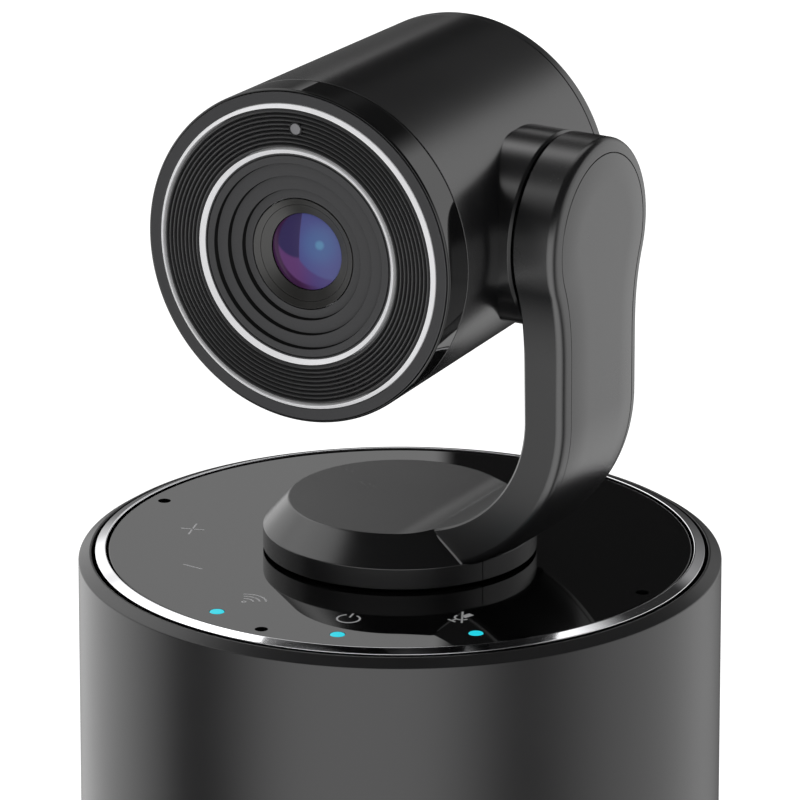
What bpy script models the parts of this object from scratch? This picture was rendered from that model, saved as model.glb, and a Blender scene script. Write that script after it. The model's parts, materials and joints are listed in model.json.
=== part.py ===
"""Conference speakerphone with a pan and tilt camera on a single side arm.

The base stands with its bottom centre at the origin, +Z up. At rest the camera looks along -Y and
its arm is on the +X side. The lengths below are in millimetres, and MM turns them into metres.
"""
import math

import bmesh
import bpy
from mathutils import Matrix, Vector

MM = 0.001
GAP = 0.3                # space between pieces that touch

# Driving dimensions, in millimetres
BASE_R = 60.0            # radius of the base
PANEL_Z = 150.0          # height of the trim ring's top edge, the datum of the upper pieces
TILT_H = 67.07           # height of the tilt axis over PANEL_Z
SEAM_Z = 88.0            # seam between the speaker grille and the housing
DISC_R = 25.54           # radius of the turntable
DISC_TOP = 9.5           # height of the turntable's flat top over PANEL_Z
BEND_X, BEND_H = 9.4, 34.1   # centre of the arm's lower bend, from the pan axis and over PANEL_Z
ARM_INNER = 24.6         # bend radius of the arm's inner face
ARM_EDGE = 31.2          # bend radius of the arm frame's outer edge
COVER_FACE = 33.5        # bend radius of the arm cover's outer face
ARM_HALF = 14.3          # half the arm's width at its neck
ARM_END_R = 18.2         # radius of the arm's round upper end and of the tilt hub
HEAD_FRONT = 38.4        # front plane of the head ahead of the tilt axis
HEAD_BACK = -26.8        # back plane of the head
HEAD_R_FRONT, HEAD_R_BACK = 31.4, 29.4
GEAR_TEETH, PINION_TEETH, GEAR_MODULE = 48, 12, 1.25
PINION_Y = GEAR_MODULE * (GEAR_TEETH + PINION_TEETH) / 2

# Sides of the turned pieces, by size
FINE, MEDIUM, COARSE, SMALL, TINY = 40, 28, 20, 14, 10

TILT_Z = PANEL_Z + TILT_H
QUARTER = math.pi / 2
UPRIGHT = (0.0, 0.0, 0.0)            # local +Z stays +Z
FORWARD = (QUARTER, 0.0, 0.0)        # local +Z points along -Y, the way the camera looks
SIDEWAYS = (0.0, QUARTER, 0.0)       # local +Z points along +X, towards the arm
SIDE_VIEW = (QUARTER, 0.0, 0.0)      # an outline drawn in x and z, thick along Y
FRONT_VIEW = (QUARTER, 0.0, QUARTER)  # an outline drawn in y and z, thick along X

for old in list(bpy.data.objects):
    bpy.data.objects.remove(old, do_unlink=True)


def new_collection(name):
    """Collection linked to the scene."""
    collection = bpy.data.collections.new(name)
    bpy.context.scene.collection.children.link(collection)
    return collection


PARTS = new_collection("conference_speakerphone")
CUTTERS = new_collection("cutters")


def paint(name, color, roughness, metallic=0.0):
    """Material with one Principled shader."""
    material = bpy.data.materials.new(name)
    material.use_nodes = True
    shader = material.node_tree.nodes["Principled BSDF"]
    shader.inputs["Base Color"].default_value = (*color, 1.0)
    shader.inputs["Roughness"].default_value = roughness
    shader.inputs["Metallic"].default_value = metallic
    return material


SATIN = paint("satin_black", (0.030, 0.030, 0.032), 0.42)
SATIN_ARM = paint("satin_arm", (0.050, 0.050, 0.053), 0.40)
GLOSS = paint("gloss_black", (0.010, 0.010, 0.011), 0.06)
MOULDED = paint("moulded_black", (0.018, 0.018, 0.019), 0.50)
CHROME = paint("bright_trim", (0.86, 0.86, 0.88), 0.10, 1.0)
STEEL = paint("steel", (0.55, 0.55, 0.56), 0.32, 1.0)
BRASS = paint("brass", (0.72, 0.52, 0.22), 0.35, 1.0)
ALLOY = paint("alloy", (0.60, 0.61, 0.62), 0.42, 1.0)
RUBBER = paint("rubber", (0.020, 0.020, 0.020), 0.80)
PAPER = paint("speaker_paper", (0.035, 0.034, 0.033), 0.85)
BOARD = paint("circuit_board", (0.015, 0.090, 0.045), 0.45)
ACETAL = paint("white_acetal", (0.80, 0.79, 0.75), 0.40)
LIGHT = paint("cyan_light", (0.05, 0.75, 0.85), 0.30)
LIGHT_GREY = paint("grey_light", (0.35, 0.35, 0.37), 0.35)
GLASS = paint("coated_glass", (0.10, 0.09, 0.35), 0.03)
CABLE = paint("cable_amber", (0.55, 0.28, 0.06), 0.45)


def pivot(name, place):
    """Empty on a joint's axis, which its moving pieces are parented to."""
    empty = bpy.data.objects.new(name, None)
    empty.location = Vector(place) * MM
    PARTS.objects.link(empty)
    return empty


def settle(piece, finish, at, turn, owner):
    """Link a piece at a place in the world; a piece with no finish is a cutter."""
    piece.rotation_euler = turn
    piece.location = Vector(at) * MM
    if owner:
        piece.parent = owner
        piece.location -= owner.location
    if finish is None:
        CUTTERS.objects.link(piece)
        piece.hide_render = True
        piece.display_type = "WIRE"
    else:
        piece.data.materials.append(finish)
        PARTS.objects.link(piece)
    return piece


def turned(name, profile, finish=None, segments=MEDIUM, turn=UPRIGHT, at=(0, 0, 0), owner=None):
    """Turned piece. The profile is (radius, height), down its outer side; one that starts on the
    axis ends on it and makes a solid, and any other closes on itself and makes a ring."""
    last = len(profile) - 1
    edges = [(i, i + 1) for i in range(last)]
    if profile[0][0] > 0:
        edges.append((last, 0))
    mesh = bpy.data.meshes.new(name)
    mesh.from_pydata([(r * MM, 0.0, z * MM) for r, z in profile], edges, [])
    piece = settle(bpy.data.objects.new(name, mesh), finish, at, turn, owner)
    screw = piece.modifiers.new("turn", "SCREW")
    screw.angle = 2 * math.pi
    screw.steps = segments
    screw.render_steps = segments
    screw.use_merge_vertices = True
    screw.merge_threshold = 0.00001
    return piece


def rod(name, radius, low, high, finish=None, segments=COARSE, turn=UPRIGHT, at=(0, 0, 0),
        owner=None):
    """Plain round bar from low to high along its own axis."""
    profile = [(0, high), (radius, high), (radius, low), (0, low)]
    return turned(name, profile, finish, segments, turn, at, owner)


def ring(name, outer, inner, low, high, finish=None, segments=MEDIUM, turn=UPRIGHT, at=(0, 0, 0),
         owner=None):
    """Plain ring with square edges."""
    profile = [(outer, high), (outer, low), (inner, low), (inner, high)]
    return turned(name, profile, finish, segments, turn, at, owner)


def box(name, low, high, finish=None, at=(0, 0, 0), owner=None):
    """Box between two corners."""
    low, high = Vector(low) * MM, Vector(high) * MM
    middle = Matrix.Translation((low + high) / 2)
    size = Matrix.Diagonal((*(high - low), 1.0))
    form = bmesh.new()
    bmesh.ops.create_cube(form, size=1.0, matrix=middle @ size)
    mesh = bpy.data.meshes.new(name)
    form.to_mesh(mesh)
    form.free()
    return settle(bpy.data.objects.new(name, mesh), finish, at, UPRIGHT, owner)


def prism(name, outlines, low, high, finish=None, turn=UPRIGHT, at=(0, 0, 0), owner=None):
    """Flat outlines made thick from low to high along their own Z; an inner outline is a hole."""
    curve = bpy.data.curves.new(name, "CURVE")
    curve.dimensions = "2D"
    curve.fill_mode = "BOTH"
    curve.extrude = (high - low) / 2 * MM
    for outline in outlines:
        spline = curve.splines.new("POLY")
        spline.points.add(len(outline) - 1)
        spline.use_cyclic_u = True
        for point, (x, y) in zip(spline.points, outline):
            point.co = (x * MM, y * MM, 0.0, 1.0)
    flat = bpy.data.objects.new(name + "_outline", curve)
    bpy.context.scene.collection.objects.link(flat)
    view = bpy.context.evaluated_depsgraph_get()
    mesh = bpy.data.meshes.new_from_object(flat.evaluated_get(view))
    bpy.data.objects.remove(flat)
    form = bmesh.new()
    form.from_mesh(mesh)
    bmesh.ops.remove_doubles(form, verts=form.verts, dist=0.000001)
    bmesh.ops.recalc_face_normals(form, faces=form.faces)
    bmesh.ops.translate(form, verts=form.verts, vec=(0.0, 0.0, (low + high) / 2 * MM))
    form.to_mesh(mesh)
    form.free()
    mesh.name = name
    return settle(bpy.data.objects.new(name, mesh), finish, at, turn, owner)


def combine(piece, tool, operation):
    """Boolean of a piece with a cutter that stays in the cutters collection."""
    modifier = piece.modifiers.new(tool.name, "BOOLEAN")
    modifier.operation = operation
    modifier.object = tool
    modifier.solver = "EXACT"


def cut(piece, tool):
    """Take the tool's volume out of the piece."""
    combine(piece, tool, "DIFFERENCE")


def fuse(piece, tool):
    """Add the tool's volume to the piece."""
    combine(piece, tool, "UNION")


def trim_to(piece, tool):
    """Keep only what lies inside the tool."""
    combine(piece, tool, "INTERSECT")


def polar(radius, degrees):
    """Place at a radius and an angle about the pan axis, at height zero."""
    angle = math.radians(degrees)
    return (radius * math.cos(angle), radius * math.sin(angle), 0.0)


# ---------------------------------------------------------------------------------------------
# Base: foot, base plate, screws and the speaker that sounds downwards onto a deflector
# ---------------------------------------------------------------------------------------------
PLATE_BOTTOM, PLATE_SPIGOT, PLATE_TOP = 2.8, 7.0, 9.5
BAFFLE_Z, BAFFLE_TOP = 58.5, 61.7
POST_R, POST_CIRCLE = 4.0, 46.0
POST_ANGLES = (30.0, 150.0, 270.0)
PORT_HALF, PORT_LOW, PORT_HIGH = 20.0, 12.0, 28.0
SLOTS = 60                       # sound slots round the grille


def build_base_plate():
    turned("rubber_foot", [(0, 2.5), (51.4, 2.5), (52, 1.9), (52, 0.6), (51.4, 0), (0, 0)], RUBBER)
    plate = turned("base_plate", [(0, PLATE_TOP), (57.6, PLATE_TOP), (57.6, PLATE_SPIGOT),
                                  (BASE_R, PLATE_SPIGOT), (BASE_R, 4.3), (58.5, PLATE_BOTTOM),
                                  (0, PLATE_BOTTOM)], MOULDED, FINE)
    for number, angle in enumerate(POST_ANGLES, 1):
        place = polar(POST_CIRCLE, angle)
        cut(plate, turned(f"base_screw_hole_{number}", [(0, 12), (1.8, 12), (1.8, 5.2), (3.3, 5.2),
                                                        (3.3, 2), (0, 2)], segments=TINY, at=place))
        turned(f"base_screw_{number}", [(0, 18), (1.5, 18), (1.5, 4.9), (3.0, 4.9), (3.0, 3.2),
                                        (0, 3.2)], STEEL, TINY, at=place)


def build_speaker(cone_pivot):
    turned("sound_deflector", [(0, 34), (2.5, 29), (9, 21.5), (21, 14.2), (38, 10.8),
                               (38, PLATE_TOP + GAP), (0, PLATE_TOP + GAP)], MOULDED, COARSE)
    baffle = ring("speaker_baffle", 57.6, 33.0, BAFFLE_Z, BAFFLE_TOP, MOULDED)
    for number, angle in enumerate(POST_ANGLES, 1):
        place = polar(POST_CIRCLE, angle)
        fuse(baffle, rod(f"post_{number}", POST_R, PLATE_TOP + GAP, BAFFLE_Z + 1, segments=SMALL,
                         at=place))
        cut(baffle, rod(f"post_pilot_{number}", 1.8, 9, 19, segments=TINY, at=place))
    chamber_foot = BAFFLE_TOP + GAP
    turned("speaker_chamber", [(0, 90), (50.5, 90), (52, 88.5), (52, chamber_foot),
                               (50, chamber_foot), (50, 88), (0, 88)], MOULDED)
    turned("speaker_basket", [(16.5, 78), (34.5, 64.5), (38, 63.6), (38, 62), (33.4, 62),
                              (31.6, 63.4), (15.4, 76.6), (8.4, 76.6), (8.4, 78)], STEEL)
    turned("speaker_magnet", [(0, 86.5), (16, 86.5), (16, 78.3), (8.2, 78.3), (8.2, 83.5),
                              (6, 83.5), (6, 78.3), (0, 78.3)], ALLOY, COARSE)
    turned("speaker_surround", [(28.4, 61.5), (29.4, 62.4), (30.6, 62.8), (31.8, 62.4),
                                (32.7, 61.5), (32.1, 60.9), (30.6, 61.9), (29.1, 60.9)],
           RUBBER, COARSE)
    turned("speaker_cone", [(0, 70.0), (4.6, 70.8), (6.6, 72.2), (6.6, 81.2), (7.4, 81.2),
                            (7.4, 73), (28, 61.6), (28, 60.8), (8, 71.9), (5, 70.0),
                            (0, 69.2)], PAPER, COARSE, owner=cone_pivot)


def build_grille():
    wall = 1.8
    grille = ring("speaker_grille", BASE_R, BASE_R - wall, PLATE_SPIGOT + GAP, SEAM_Z, SATIN, SLOTS)
    slots = bmesh.new()
    slot_half, top = 1.3, 78.0
    for index in range(SLOTS):
        angle = 2 * math.pi * (index + 0.5) / SLOTS
        x = BASE_R * math.cos(angle)
        behind = math.sin(angle) > 0 and abs(x) < PORT_HALF + 4
        low = Vector((55, -slot_half, PORT_HIGH + 8 if behind else 16)) * MM
        high = Vector((65, slot_half, top)) * MM
        shape = Matrix.Translation((low + high) / 2) @ Matrix.Diagonal((*(high - low), 1.0))
        bmesh.ops.create_cube(slots, size=1.0, matrix=Matrix.Rotation(angle, 4, "Z") @ shape)
    mesh = bpy.data.meshes.new("grille_slots")
    slots.to_mesh(mesh)
    slots.free()
    cut(grille, settle(bpy.data.objects.new("grille_slots", mesh), None, (0, 0, 0), UPRIGHT, None))
    cut(grille, box("port_window", (-PORT_HALF - GAP, 45, PORT_LOW - GAP),
                    (PORT_HALF + GAP, 70, PORT_HIGH + GAP)))


def build_ports():
    """Port block at the back: a curved face with a flat recess, and three sockets in it."""
    middle = (PORT_LOW + PORT_HIGH) / 2
    face = 56.5
    back = 46.0
    block = box("port_block", (-PORT_HALF, back, PORT_LOW), (PORT_HALF, 62, PORT_HIGH), MOULDED)
    trim_to(block, rod("port_face", BASE_R - 0.05, 0, 40, segments=SLOTS))
    cut(block, box("port_recess", (-16.5, face, PORT_LOW + 2.4), (16.5, 64, PORT_HIGH - 2.4)))
    usb_x, dc_x, audio_x = -9.5, 2.5, 12.0
    cut(block, box("usb_hole", (usb_x - 4.9, 40, middle - 2.1), (usb_x + 4.9, 64, middle + 2.1)))
    cut(block, rod("dc_hole", 4.1, -64, -40, segments=SMALL, turn=FORWARD, at=(dc_x, 0, middle)))
    cut(block, rod("audio_hole", 3.3, -64, -40, segments=SMALL, turn=FORWARD, at=(audio_x, 0, middle)))
    port = box("usb_c_port", (usb_x - 4.5, 49, middle - 1.7), (usb_x + 4.5, face, middle + 1.7),
               STEEL)
    cut(port, box("usb_mouth", (usb_x - 4.15, 50, middle - 1.35),
                  (usb_x + 4.15, face + 2, middle + 1.35)))
    fuse(port, box("usb_tongue", (usb_x - 3.3, 49.5, middle - 0.35),
                   (usb_x + 3.3, face - 0.8, middle + 0.35)))
    turned("dc_jack", [(0, -48.5), (3.8, -48.5), (3.8, -face), (2.9, -face), (2.9, -50),
                       (1.0, -50), (1.0, -face + 0.6), (0, -face + 0.6)], MOULDED, SMALL,
           FORWARD, (dc_x, 0, middle))
    turned("audio_jack", [(0, -48.5), (3.0, -48.5), (3.0, -face), (1.8, -face), (1.8, -50),
                          (0, -50)], BRASS, SMALL, FORWARD, (audio_x, 0, middle))


def build_main_board():
    board = rod("main_board", 50, 94, 95.6, BOARD, MEDIUM)
    chips = ((-12, -10, 8, 10, 2.2), (16, -30, 34, -12, 3.0), (-34, 12, -20, 26, 1.8),
             (-30, -30, -18, -14, 1.6), (20, 8, 30, 16, 3.4))
    for number, (x0, y0, x1, y1, tall) in enumerate(chips, 1):
        fuse(board, box(f"chip_{number}", (x0, y0, 95.2), (x1, y1, 95.6 + tall)))


# ---------------------------------------------------------------------------------------------
# Upper base: housing, touch panel and the pan drive
# ---------------------------------------------------------------------------------------------
LEDGE_LOW, LEDGE_TOP = 138.5, 141.5
BORE = 57.4                        # inner radius of the housing
LIGHT_CIRCLE, LIGHT_ANGLES = 48.6, {"mute": -44.0, "power": -74.0, "wireless": -104.0}
MIC_CIRCLE = 51.2
GEAR_LOW, GEAR_TOP = 122.0, 127.0
GEAR_BORE = 10.3                   # bore of the gear and of the inner bearing ring, round the spindle


def build_housing():
    turned("housing", [(57.9, PANEL_Z), (59.2, PANEL_Z - 1.0), (BASE_R, PANEL_Z - 2.6),
                       (BASE_R, SEAM_Z + GAP), (BORE, SEAM_Z + GAP), (BORE, LEDGE_LOW),
                       (52, LEDGE_LOW), (52, LEDGE_TOP), (BORE, LEDGE_TOP),
                       (BORE, PANEL_Z - 0.3)], SATIN, FINE)
    turned("trim_ring", [(57.1, PANEL_Z), (57.1, LEDGE_TOP + GAP), (53.4, LEDGE_TOP + GAP),
                         (53.4, 144.7), (55, 144.7), (55, PANEL_Z)], CHROME, FINE)


def build_panel():
    surface = PANEL_Z - GAP
    panel = turned("top_panel", [(54.1, surface), (54.4, surface - 0.3), (54.4, 146.7),
                                 (16, 146.7), (16, surface)], GLOSS, FINE)
    board = ring("touch_board", 53.8, 18, 145, 146.4, BOARD)
    for number in range(4):
        place = polar(MIC_CIRCLE, 90.0 * number)
        cut(panel, rod(f"mic_hole_{number + 1}", 1.2, 140, 155, segments=TINY, at=place))
        fuse(board, rod(f"microphone_{number + 1}", 2.0, 142.6, 145.2, segments=TINY, at=place))
        cut(board, rod(f"mic_port_{number + 1}", 1.0, 144, 150, segments=TINY, at=place))
    for label, angle in LIGHT_ANGLES.items():
        place = polar(LIGHT_CIRCLE, angle)
        cut(panel, rod(f"light_hole_{label}", 1.65, 140, 155, segments=SMALL, at=place))
        rod(f"light_pipe_{label}", 1.35, 146.7, surface + 0.05, LIGHT, TINY, at=place)


def build_pan_bearing(pan_pivot):
    turned("top_frame", [(57.1, 138.2), (57.1, 135.2), (19.5, 135.2), (19.5, 129.5), (13.5, 129.5),
                         (13.5, 131), (16.5, 131), (16.5, 138.2)], MOULDED)
    ring("pan_bearing_outer", 16.2, 14.3, 131.3, 137.9, STEEL)
    ring("pan_bearing_inner", 12.4, GEAR_BORE, 131.3, 137.9, STEEL, owner=pan_pivot)


def gear_outline(teeth, phase):
    """Involute outline, with a little taken off tooth tips and flanks for running play."""
    addendum, dedendum, play = 0.9 * GEAR_MODULE, 1.25 * GEAR_MODULE, 0.10
    pressure = math.radians(20)
    pitch = teeth * GEAR_MODULE / 2
    base = pitch * math.cos(pressure)
    root = pitch - dedendum
    half_at_pitch = math.pi / (2 * teeth) * (1 - play)
    flank = []
    for radius in (root, pitch, pitch + addendum):
        slope = math.acos(min(1.0, base / radius))
        rise = math.tan(pressure) - pressure - (math.tan(slope) - slope)
        flank.append((radius, half_at_pitch + rise))
    outline = []
    for tooth in range(teeth):
        centre = phase + 2 * math.pi * tooth / teeth
        side = [(radius, centre - half) for radius, half in flank]
        side += [(radius, centre + half) for radius, half in reversed(flank)]
        outline += [(radius * math.cos(a), radius * math.sin(a)) for radius, a in side]
    return outline


def circle(radius):
    """Round outline."""
    turns = [2 * math.pi * i / COARSE for i in range(COARSE)]
    return [(radius * math.cos(a), radius * math.sin(a)) for a in turns]


def build_pan_drive(pan_pivot, pinion_pivot):
    prism("pan_gear", [gear_outline(GEAR_TEETH, 0.0), circle(GEAR_BORE)], GEAR_LOW, GEAR_TOP, ACETAL,
          owner=pan_pivot)
    pinion = prism("pan_pinion", [gear_outline(PINION_TEETH, math.pi / PINION_TEETH)],
                   GEAR_LOW - 0.4, GEAR_TOP + 0.4, BRASS, at=(0, PINION_Y, 0), owner=pinion_pivot)
    fuse(pinion, rod("pinion_shaft", 1.5, 114.5, 129, segments=SMALL, at=(0, PINION_Y, 0)))
    motor = rod("pan_motor", 10, 100.5, 119, ALLOY, COARSE, at=(0, PINION_Y, 0))
    cut(motor, rod("pan_motor_bore", 1.9, 114, 121, segments=SMALL, at=(0, PINION_Y, 0)))
    bracket = box("pan_motor_bracket", (-12, 25.5, 119.3), (12, 53, 120.9), STEEL)
    fuse(bracket, box("bracket_leg", (-12, 50.5, 120), (12, 53, 134.9)))
    cut(bracket, rod("bracket_bore", 3.0, 117, 123, segments=SMALL, at=(0, PINION_Y, 0)))


# ---------------------------------------------------------------------------------------------
# Turntable and arm
# ---------------------------------------------------------------------------------------------
ARM_TOP = TILT_H + 20            # past the arm's round upper end
COVER_INSET = ARM_HALF - 11.7
FOOT_X = 15.0                    # where the arm frame leaves the turntable's top
SCREW_SPOTS = {"arm_screw_1": (13.5, 8.4), "arm_screw_2": (13.5, -8.4),
               "cap_screw": (-13.5, 0.0)}


def bend(radius, start, end):
    """Arc of the arm's lower bend, between two angles up from straight down, in (x, height)."""
    count = 10
    turns = [start + (end - start) * i / count for i in range(count + 1)]
    return [(BEND_X + radius * math.sin(a), PANEL_Z + BEND_H - radius * math.cos(a))
            for a in turns]


def strap(near, far, start_x, top):
    """Side outline of the arm between two bend radii, from start_x to a height over PANEL_Z."""
    inner = bend(near, math.asin((start_x - BEND_X) / near), QUARTER)
    outer = bend(far, math.asin((start_x - BEND_X) / far), QUARTER)
    return inner + [(BEND_X + near, PANEL_Z + top), (BEND_X + far, PANEL_Z + top)] + outer[::-1]


def arm_front(inset):
    """Front outline of the arm in (y, height): a straight neck that swells to a round end."""
    radius, neck = ARM_END_R - inset, ARM_HALF - inset
    low, high = 45.7, 60.0
    drop = TILT_H - high
    wide = math.sqrt(radius ** 2 - drop ** 2)
    steps = 6
    right = [(neck, 0.0)]
    for i in range(steps + 1):
        u = i / steps
        swell = (3 * u * u - 2 * u ** 3) * (wide - neck)
        lean = (u ** 3 - u * u) * (high - low) * drop / wide
        right.append((neck + swell + lean, low + u * (high - low)))
    first = -math.asin(drop / radius)
    count = 12
    for i in range(1, count + 1):
        a = first + (QUARTER - first) * i / count
        right.append((radius * math.cos(a), TILT_H + radius * math.sin(a)))
    left = [(-y, z) for y, z in reversed(right[:-1])]
    return [(y, PANEL_Z + z) for y, z in right + left]


def build_turntable(pan_pivot):
    cap = turned("turntable_cap", [(0, DISC_TOP), (20.85, DISC_TOP), (DISC_R, 4.3), (DISC_R, 0.3),
                                   (23, 0.3), (23, 3.6), (19.5, 7), (0, 7)], SATIN, FINE,
                 at=(0, 0, PANEL_Z), owner=pan_pivot)
    notch = bend(ARM_EDGE + GAP, math.asin((FOOT_X - GAP - BEND_X) / (ARM_EDGE + GAP)), 0.9)
    notch += [(notch[-1][0], PANEL_Z + 30), (notch[0][0], PANEL_Z + 30)]
    cut(cap, prism("arm_notch", [notch], -ARM_HALF - GAP, ARM_HALF + GAP, turn=SIDE_VIEW))
    cut(cap, box("cover_notch", (19.4, -12, PANEL_Z - 1), (28, 12, PANEL_Z + 7.5)))
    spot = SCREW_SPOTS["cap_screw"]
    fuse(cap, rod("cap_boss", 2.8, 3.4, 7.5, segments=SMALL, at=(*spot, PANEL_Z)))
    cut(cap, rod("cap_pilot", 1.25, 3, 8, segments=TINY, at=(*spot, PANEL_Z)))
    spindle = turned("pan_spindle", [(18.5, 3.1), (18.5, 0.7), (10, 0.7), (10, -29), (6.5, -29),
                                     (6.5, 3.1)], ALLOY, COARSE, at=(0, 0, PANEL_Z), owner=pan_pivot)
    for name, (x, y) in SCREW_SPOTS.items():
        place = (x, y, PANEL_Z)
        cut(spindle, turned(name + "_hole", [(0, 6), (1.35, 6), (1.35, 2.2), (2.5, 2.2), (2.5, 0),
                                             (0, 0)], segments=TINY, at=place))
        turned(name, [(0, 6.4), (1.0, 6.4), (1.0, 1.9), (2.1, 1.9), (2.1, 0.8), (0, 0.8)], STEEL,
               TINY, at=place, owner=pan_pivot)


def build_arm(pan_pivot):
    frame = prism("arm_frame", [strap(ARM_INNER, ARM_EDGE, FOOT_X, ARM_TOP)], -20, 20, SATIN_ARM,
                  SIDE_VIEW, owner=pan_pivot)
    trim_to(frame, prism("frame_outline", [arm_front(0.0)], 10, 46, turn=FRONT_VIEW))
    for side in (1, -1):
        low, high = sorted((side * 5.2, side * 12.2))
        fuse(frame, box(f"arm_ear_{side}", (10.5, low, PANEL_Z + 3.4), (17.2, high, PANEL_Z + 6.7)))
        cut(frame, rod(f"ear_pilot_{side}", 1.25, 3, 7.2, segments=TINY,
                       at=(13.5, side * 8.4, PANEL_Z)))
    cut(frame, prism("cable_channel", [strap(ARM_INNER + 2.6, ARM_EDGE + 3, 13.5, 55)], -5, 5,
                     turn=SIDE_VIEW))
    cut(frame, rod("motor_pocket", 14.4, BEND_X + ARM_INNER + 2.2, 50, segments=MEDIUM, turn=SIDEWAYS,
                   at=(0, 0, TILT_Z)))
    cut(frame, rod("bearing_seat", 6.4, 30, 40, segments=SMALL, turn=SIDEWAYS, at=(0, 0, TILT_Z)))
    cover = prism("arm_cover", [strap(ARM_EDGE + GAP, COVER_FACE, 20.6, ARM_TOP)], -20, 20,
                  SATIN_ARM, SIDE_VIEW, owner=pan_pivot)
    trim_to(cover, prism("cover_outline", [arm_front(COVER_INSET)], 10, 46, turn=FRONT_VIEW))
    wall = ring("cover_wall", DISC_R, 23.2, 0.3, 4.3, segments=FINE, at=(0, 0, PANEL_Z))
    trim_to(wall, box("cover_wall_width", (18, -11.7, PANEL_Z), (28, 11.7, PANEL_Z + 9)))
    fuse(cover, wall)


def build_arm_inside(pan_pivot):
    ring("tilt_bearing", 6.1, 3.3, BEND_X + ARM_INNER + 0.2, 36, STEEL, COARSE, SIDEWAYS,
         (0, 0, TILT_Z), pan_pivot)
    ring("tilt_motor", 13.9, 3.5, 36.6, 40.4, ALLOY, COARSE, SIDEWAYS, (0, 0, TILT_Z), pan_pivot)
    middle = ARM_INNER + 4.6
    half = 0.25

    def route(side):
        """Left (-1) or right (1) face of the ribbon, up the spindle and then up inside the arm."""
        offset = side * half
        rise = [(3.5 + offset, PANEL_Z - 26), (3.5 + offset, PANEL_Z + 4.4 - offset)]
        run = bend(middle + offset, math.asin((13.0 - BEND_X) / middle), QUARTER)
        return rise + run + [(BEND_X + middle + offset, PANEL_Z + 52)]

    prism("arm_cable", [route(-1) + route(1)[::-1]], -4, 4, CABLE, SIDE_VIEW, owner=pan_pivot)


# ---------------------------------------------------------------------------------------------
# Head: heights in these profiles run forward from the tilt axis
# ---------------------------------------------------------------------------------------------
def head_radius(forward):
    """Outer radius of the tapered head at a distance ahead of the tilt axis."""
    share = (forward - HEAD_BACK) / (HEAD_FRONT - HEAD_BACK)
    return HEAD_R_BACK + share * (HEAD_R_FRONT - HEAD_R_BACK)


def head_turned(name, profile, finish, owner, segments=MEDIUM):
    """Turned piece on the head's own axis."""
    return turned(name, profile, finish, segments, FORWARD, (0, 0, TILT_Z), owner)


BAND_BACK = 30.4                 # back edge of the glossy front band
CAP_SEAM = -24.0                 # seam between the barrel and the rear cap


def build_shells(head):
    wall = 1.8
    front, back = BAND_BACK - GAP, CAP_SEAM
    barrel = head_turned("head_barrel", [(head_radius(front), front), (head_radius(back), back),
                                         (head_radius(back) - wall, back),
                                         (head_radius(front) - wall, front)], SATIN, head, FINE)
    cut(barrel, rod("barrel_opening", 13, 20, 34, segments=COARSE, turn=SIDEWAYS, at=(0, 0, TILT_Z)))
    rim = HEAD_FRONT
    head_turned("front_bezel", [(31.0, rim), (HEAD_R_FRONT, rim - 0.5),
                                (head_radius(BAND_BACK), BAND_BACK), (27, BAND_BACK), (27, 34),
                                (28.95, 34), (28.95, rim)], GLOSS, head, FINE)
    lip = CAP_SEAM - GAP
    head_turned("rear_cap", [(0, lip), (25.2, lip), (25.2, -20.5), (27.3, -20.5), (27.3, lip),
                             (head_radius(lip), lip), (29.4, -26.2), (28.8, HEAD_BACK),
                             (0, HEAD_BACK)], SATIN, head, FINE)


def build_face(head):
    rim = HEAD_FRONT
    seat = 34.3
    head_turned("outer_trim_ring", [(28.65, rim), (28.65, seat), (27.95, seat), (27.95, rim)],
                CHROME, head, FINE)
    ridges, outer, inner = 6, 27.65, 20.5
    pitch = (outer - inner) / ridges
    comb = []
    for ridge in range(ridges):
        edge = inner + ridge * pitch
        comb += [(edge, rim - 0.75), (edge + pitch / 2, rim - 0.4)]
    comb = [(outer, rim - 0.75), (outer, seat), (inner, seat)] + comb
    ribbed = head_turned("ribbed_ring", comb, MOULDED, head)
    light = (0, 0, TILT_Z + 24.3)
    cut(ribbed, rod("status_hole", 1.35, 30, 40, segments=SMALL, turn=FORWARD, at=light))
    rod("status_light", 1.05, 35.2, rim - 0.35, LIGHT_GREY, TINY, FORWARD, light, head)
    head_turned("inner_trim_ring", [(20.2, rim), (20.2, seat), (19.4, seat), (19.4, rim)], CHROME,
                head)
    head_turned("lens_funnel", [(19.1, 38.2), (19.1, seat), (10.6, seat), (10.6, 36.3),
                                (12.4, 36.3), (12.4, 37.1), (15.1, 37.1), (15.1, 37.7),
                                (17.4, 37.7), (17.4, 38.2)], MOULDED, head)
    head_turned("lens_ring", [(10.2, 36.2), (10.2, 33), (9.15, 33), (9.15, 36.2)], GLOSS, head, COARSE)
    head_turned("lens_mount", [(26.7, 34), (26.7, 31), (11, 31), (11, 12), (9, 12), (9, 32.7),
                               (10.5, 32.7), (10.5, 34)], ALLOY, head, COARSE)


def build_tilt_joint(head):
    hub = turned("tilt_hub", [(0, 33), (17.7, 33), (ARM_END_R, 32.5), (ARM_END_R, 18), (0, 18)],
                 SATIN, MEDIUM, SIDEWAYS, (0, 0, TILT_Z), head)
    room = [(0, 45), (head_radius(45) + GAP, 45), (head_radius(-45) + GAP, -45), (0, -45)]
    cut(hub, turned("barrel_room", room, segments=FINE, turn=FORWARD, at=(0, 0, TILT_Z)))
    cut(hub, rod("hub_bore", 14, 10, 31, segments=COARSE, turn=SIDEWAYS, at=(0, 0, TILT_Z)))
    cut(hub, rod("hub_hole", 3.4, 20, 36, segments=SMALL, turn=SIDEWAYS, at=(0, 0, TILT_Z)))
    turned("tilt_shaft", [(0, 39.8), (3, 39.8), (3, 30.7), (12, 30.7), (12, 28.4), (3, 28.4),
                          (3, 23), (0, 23)], STEEL, COARSE, SIDEWAYS, (0, 0, TILT_Z), head)


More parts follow.
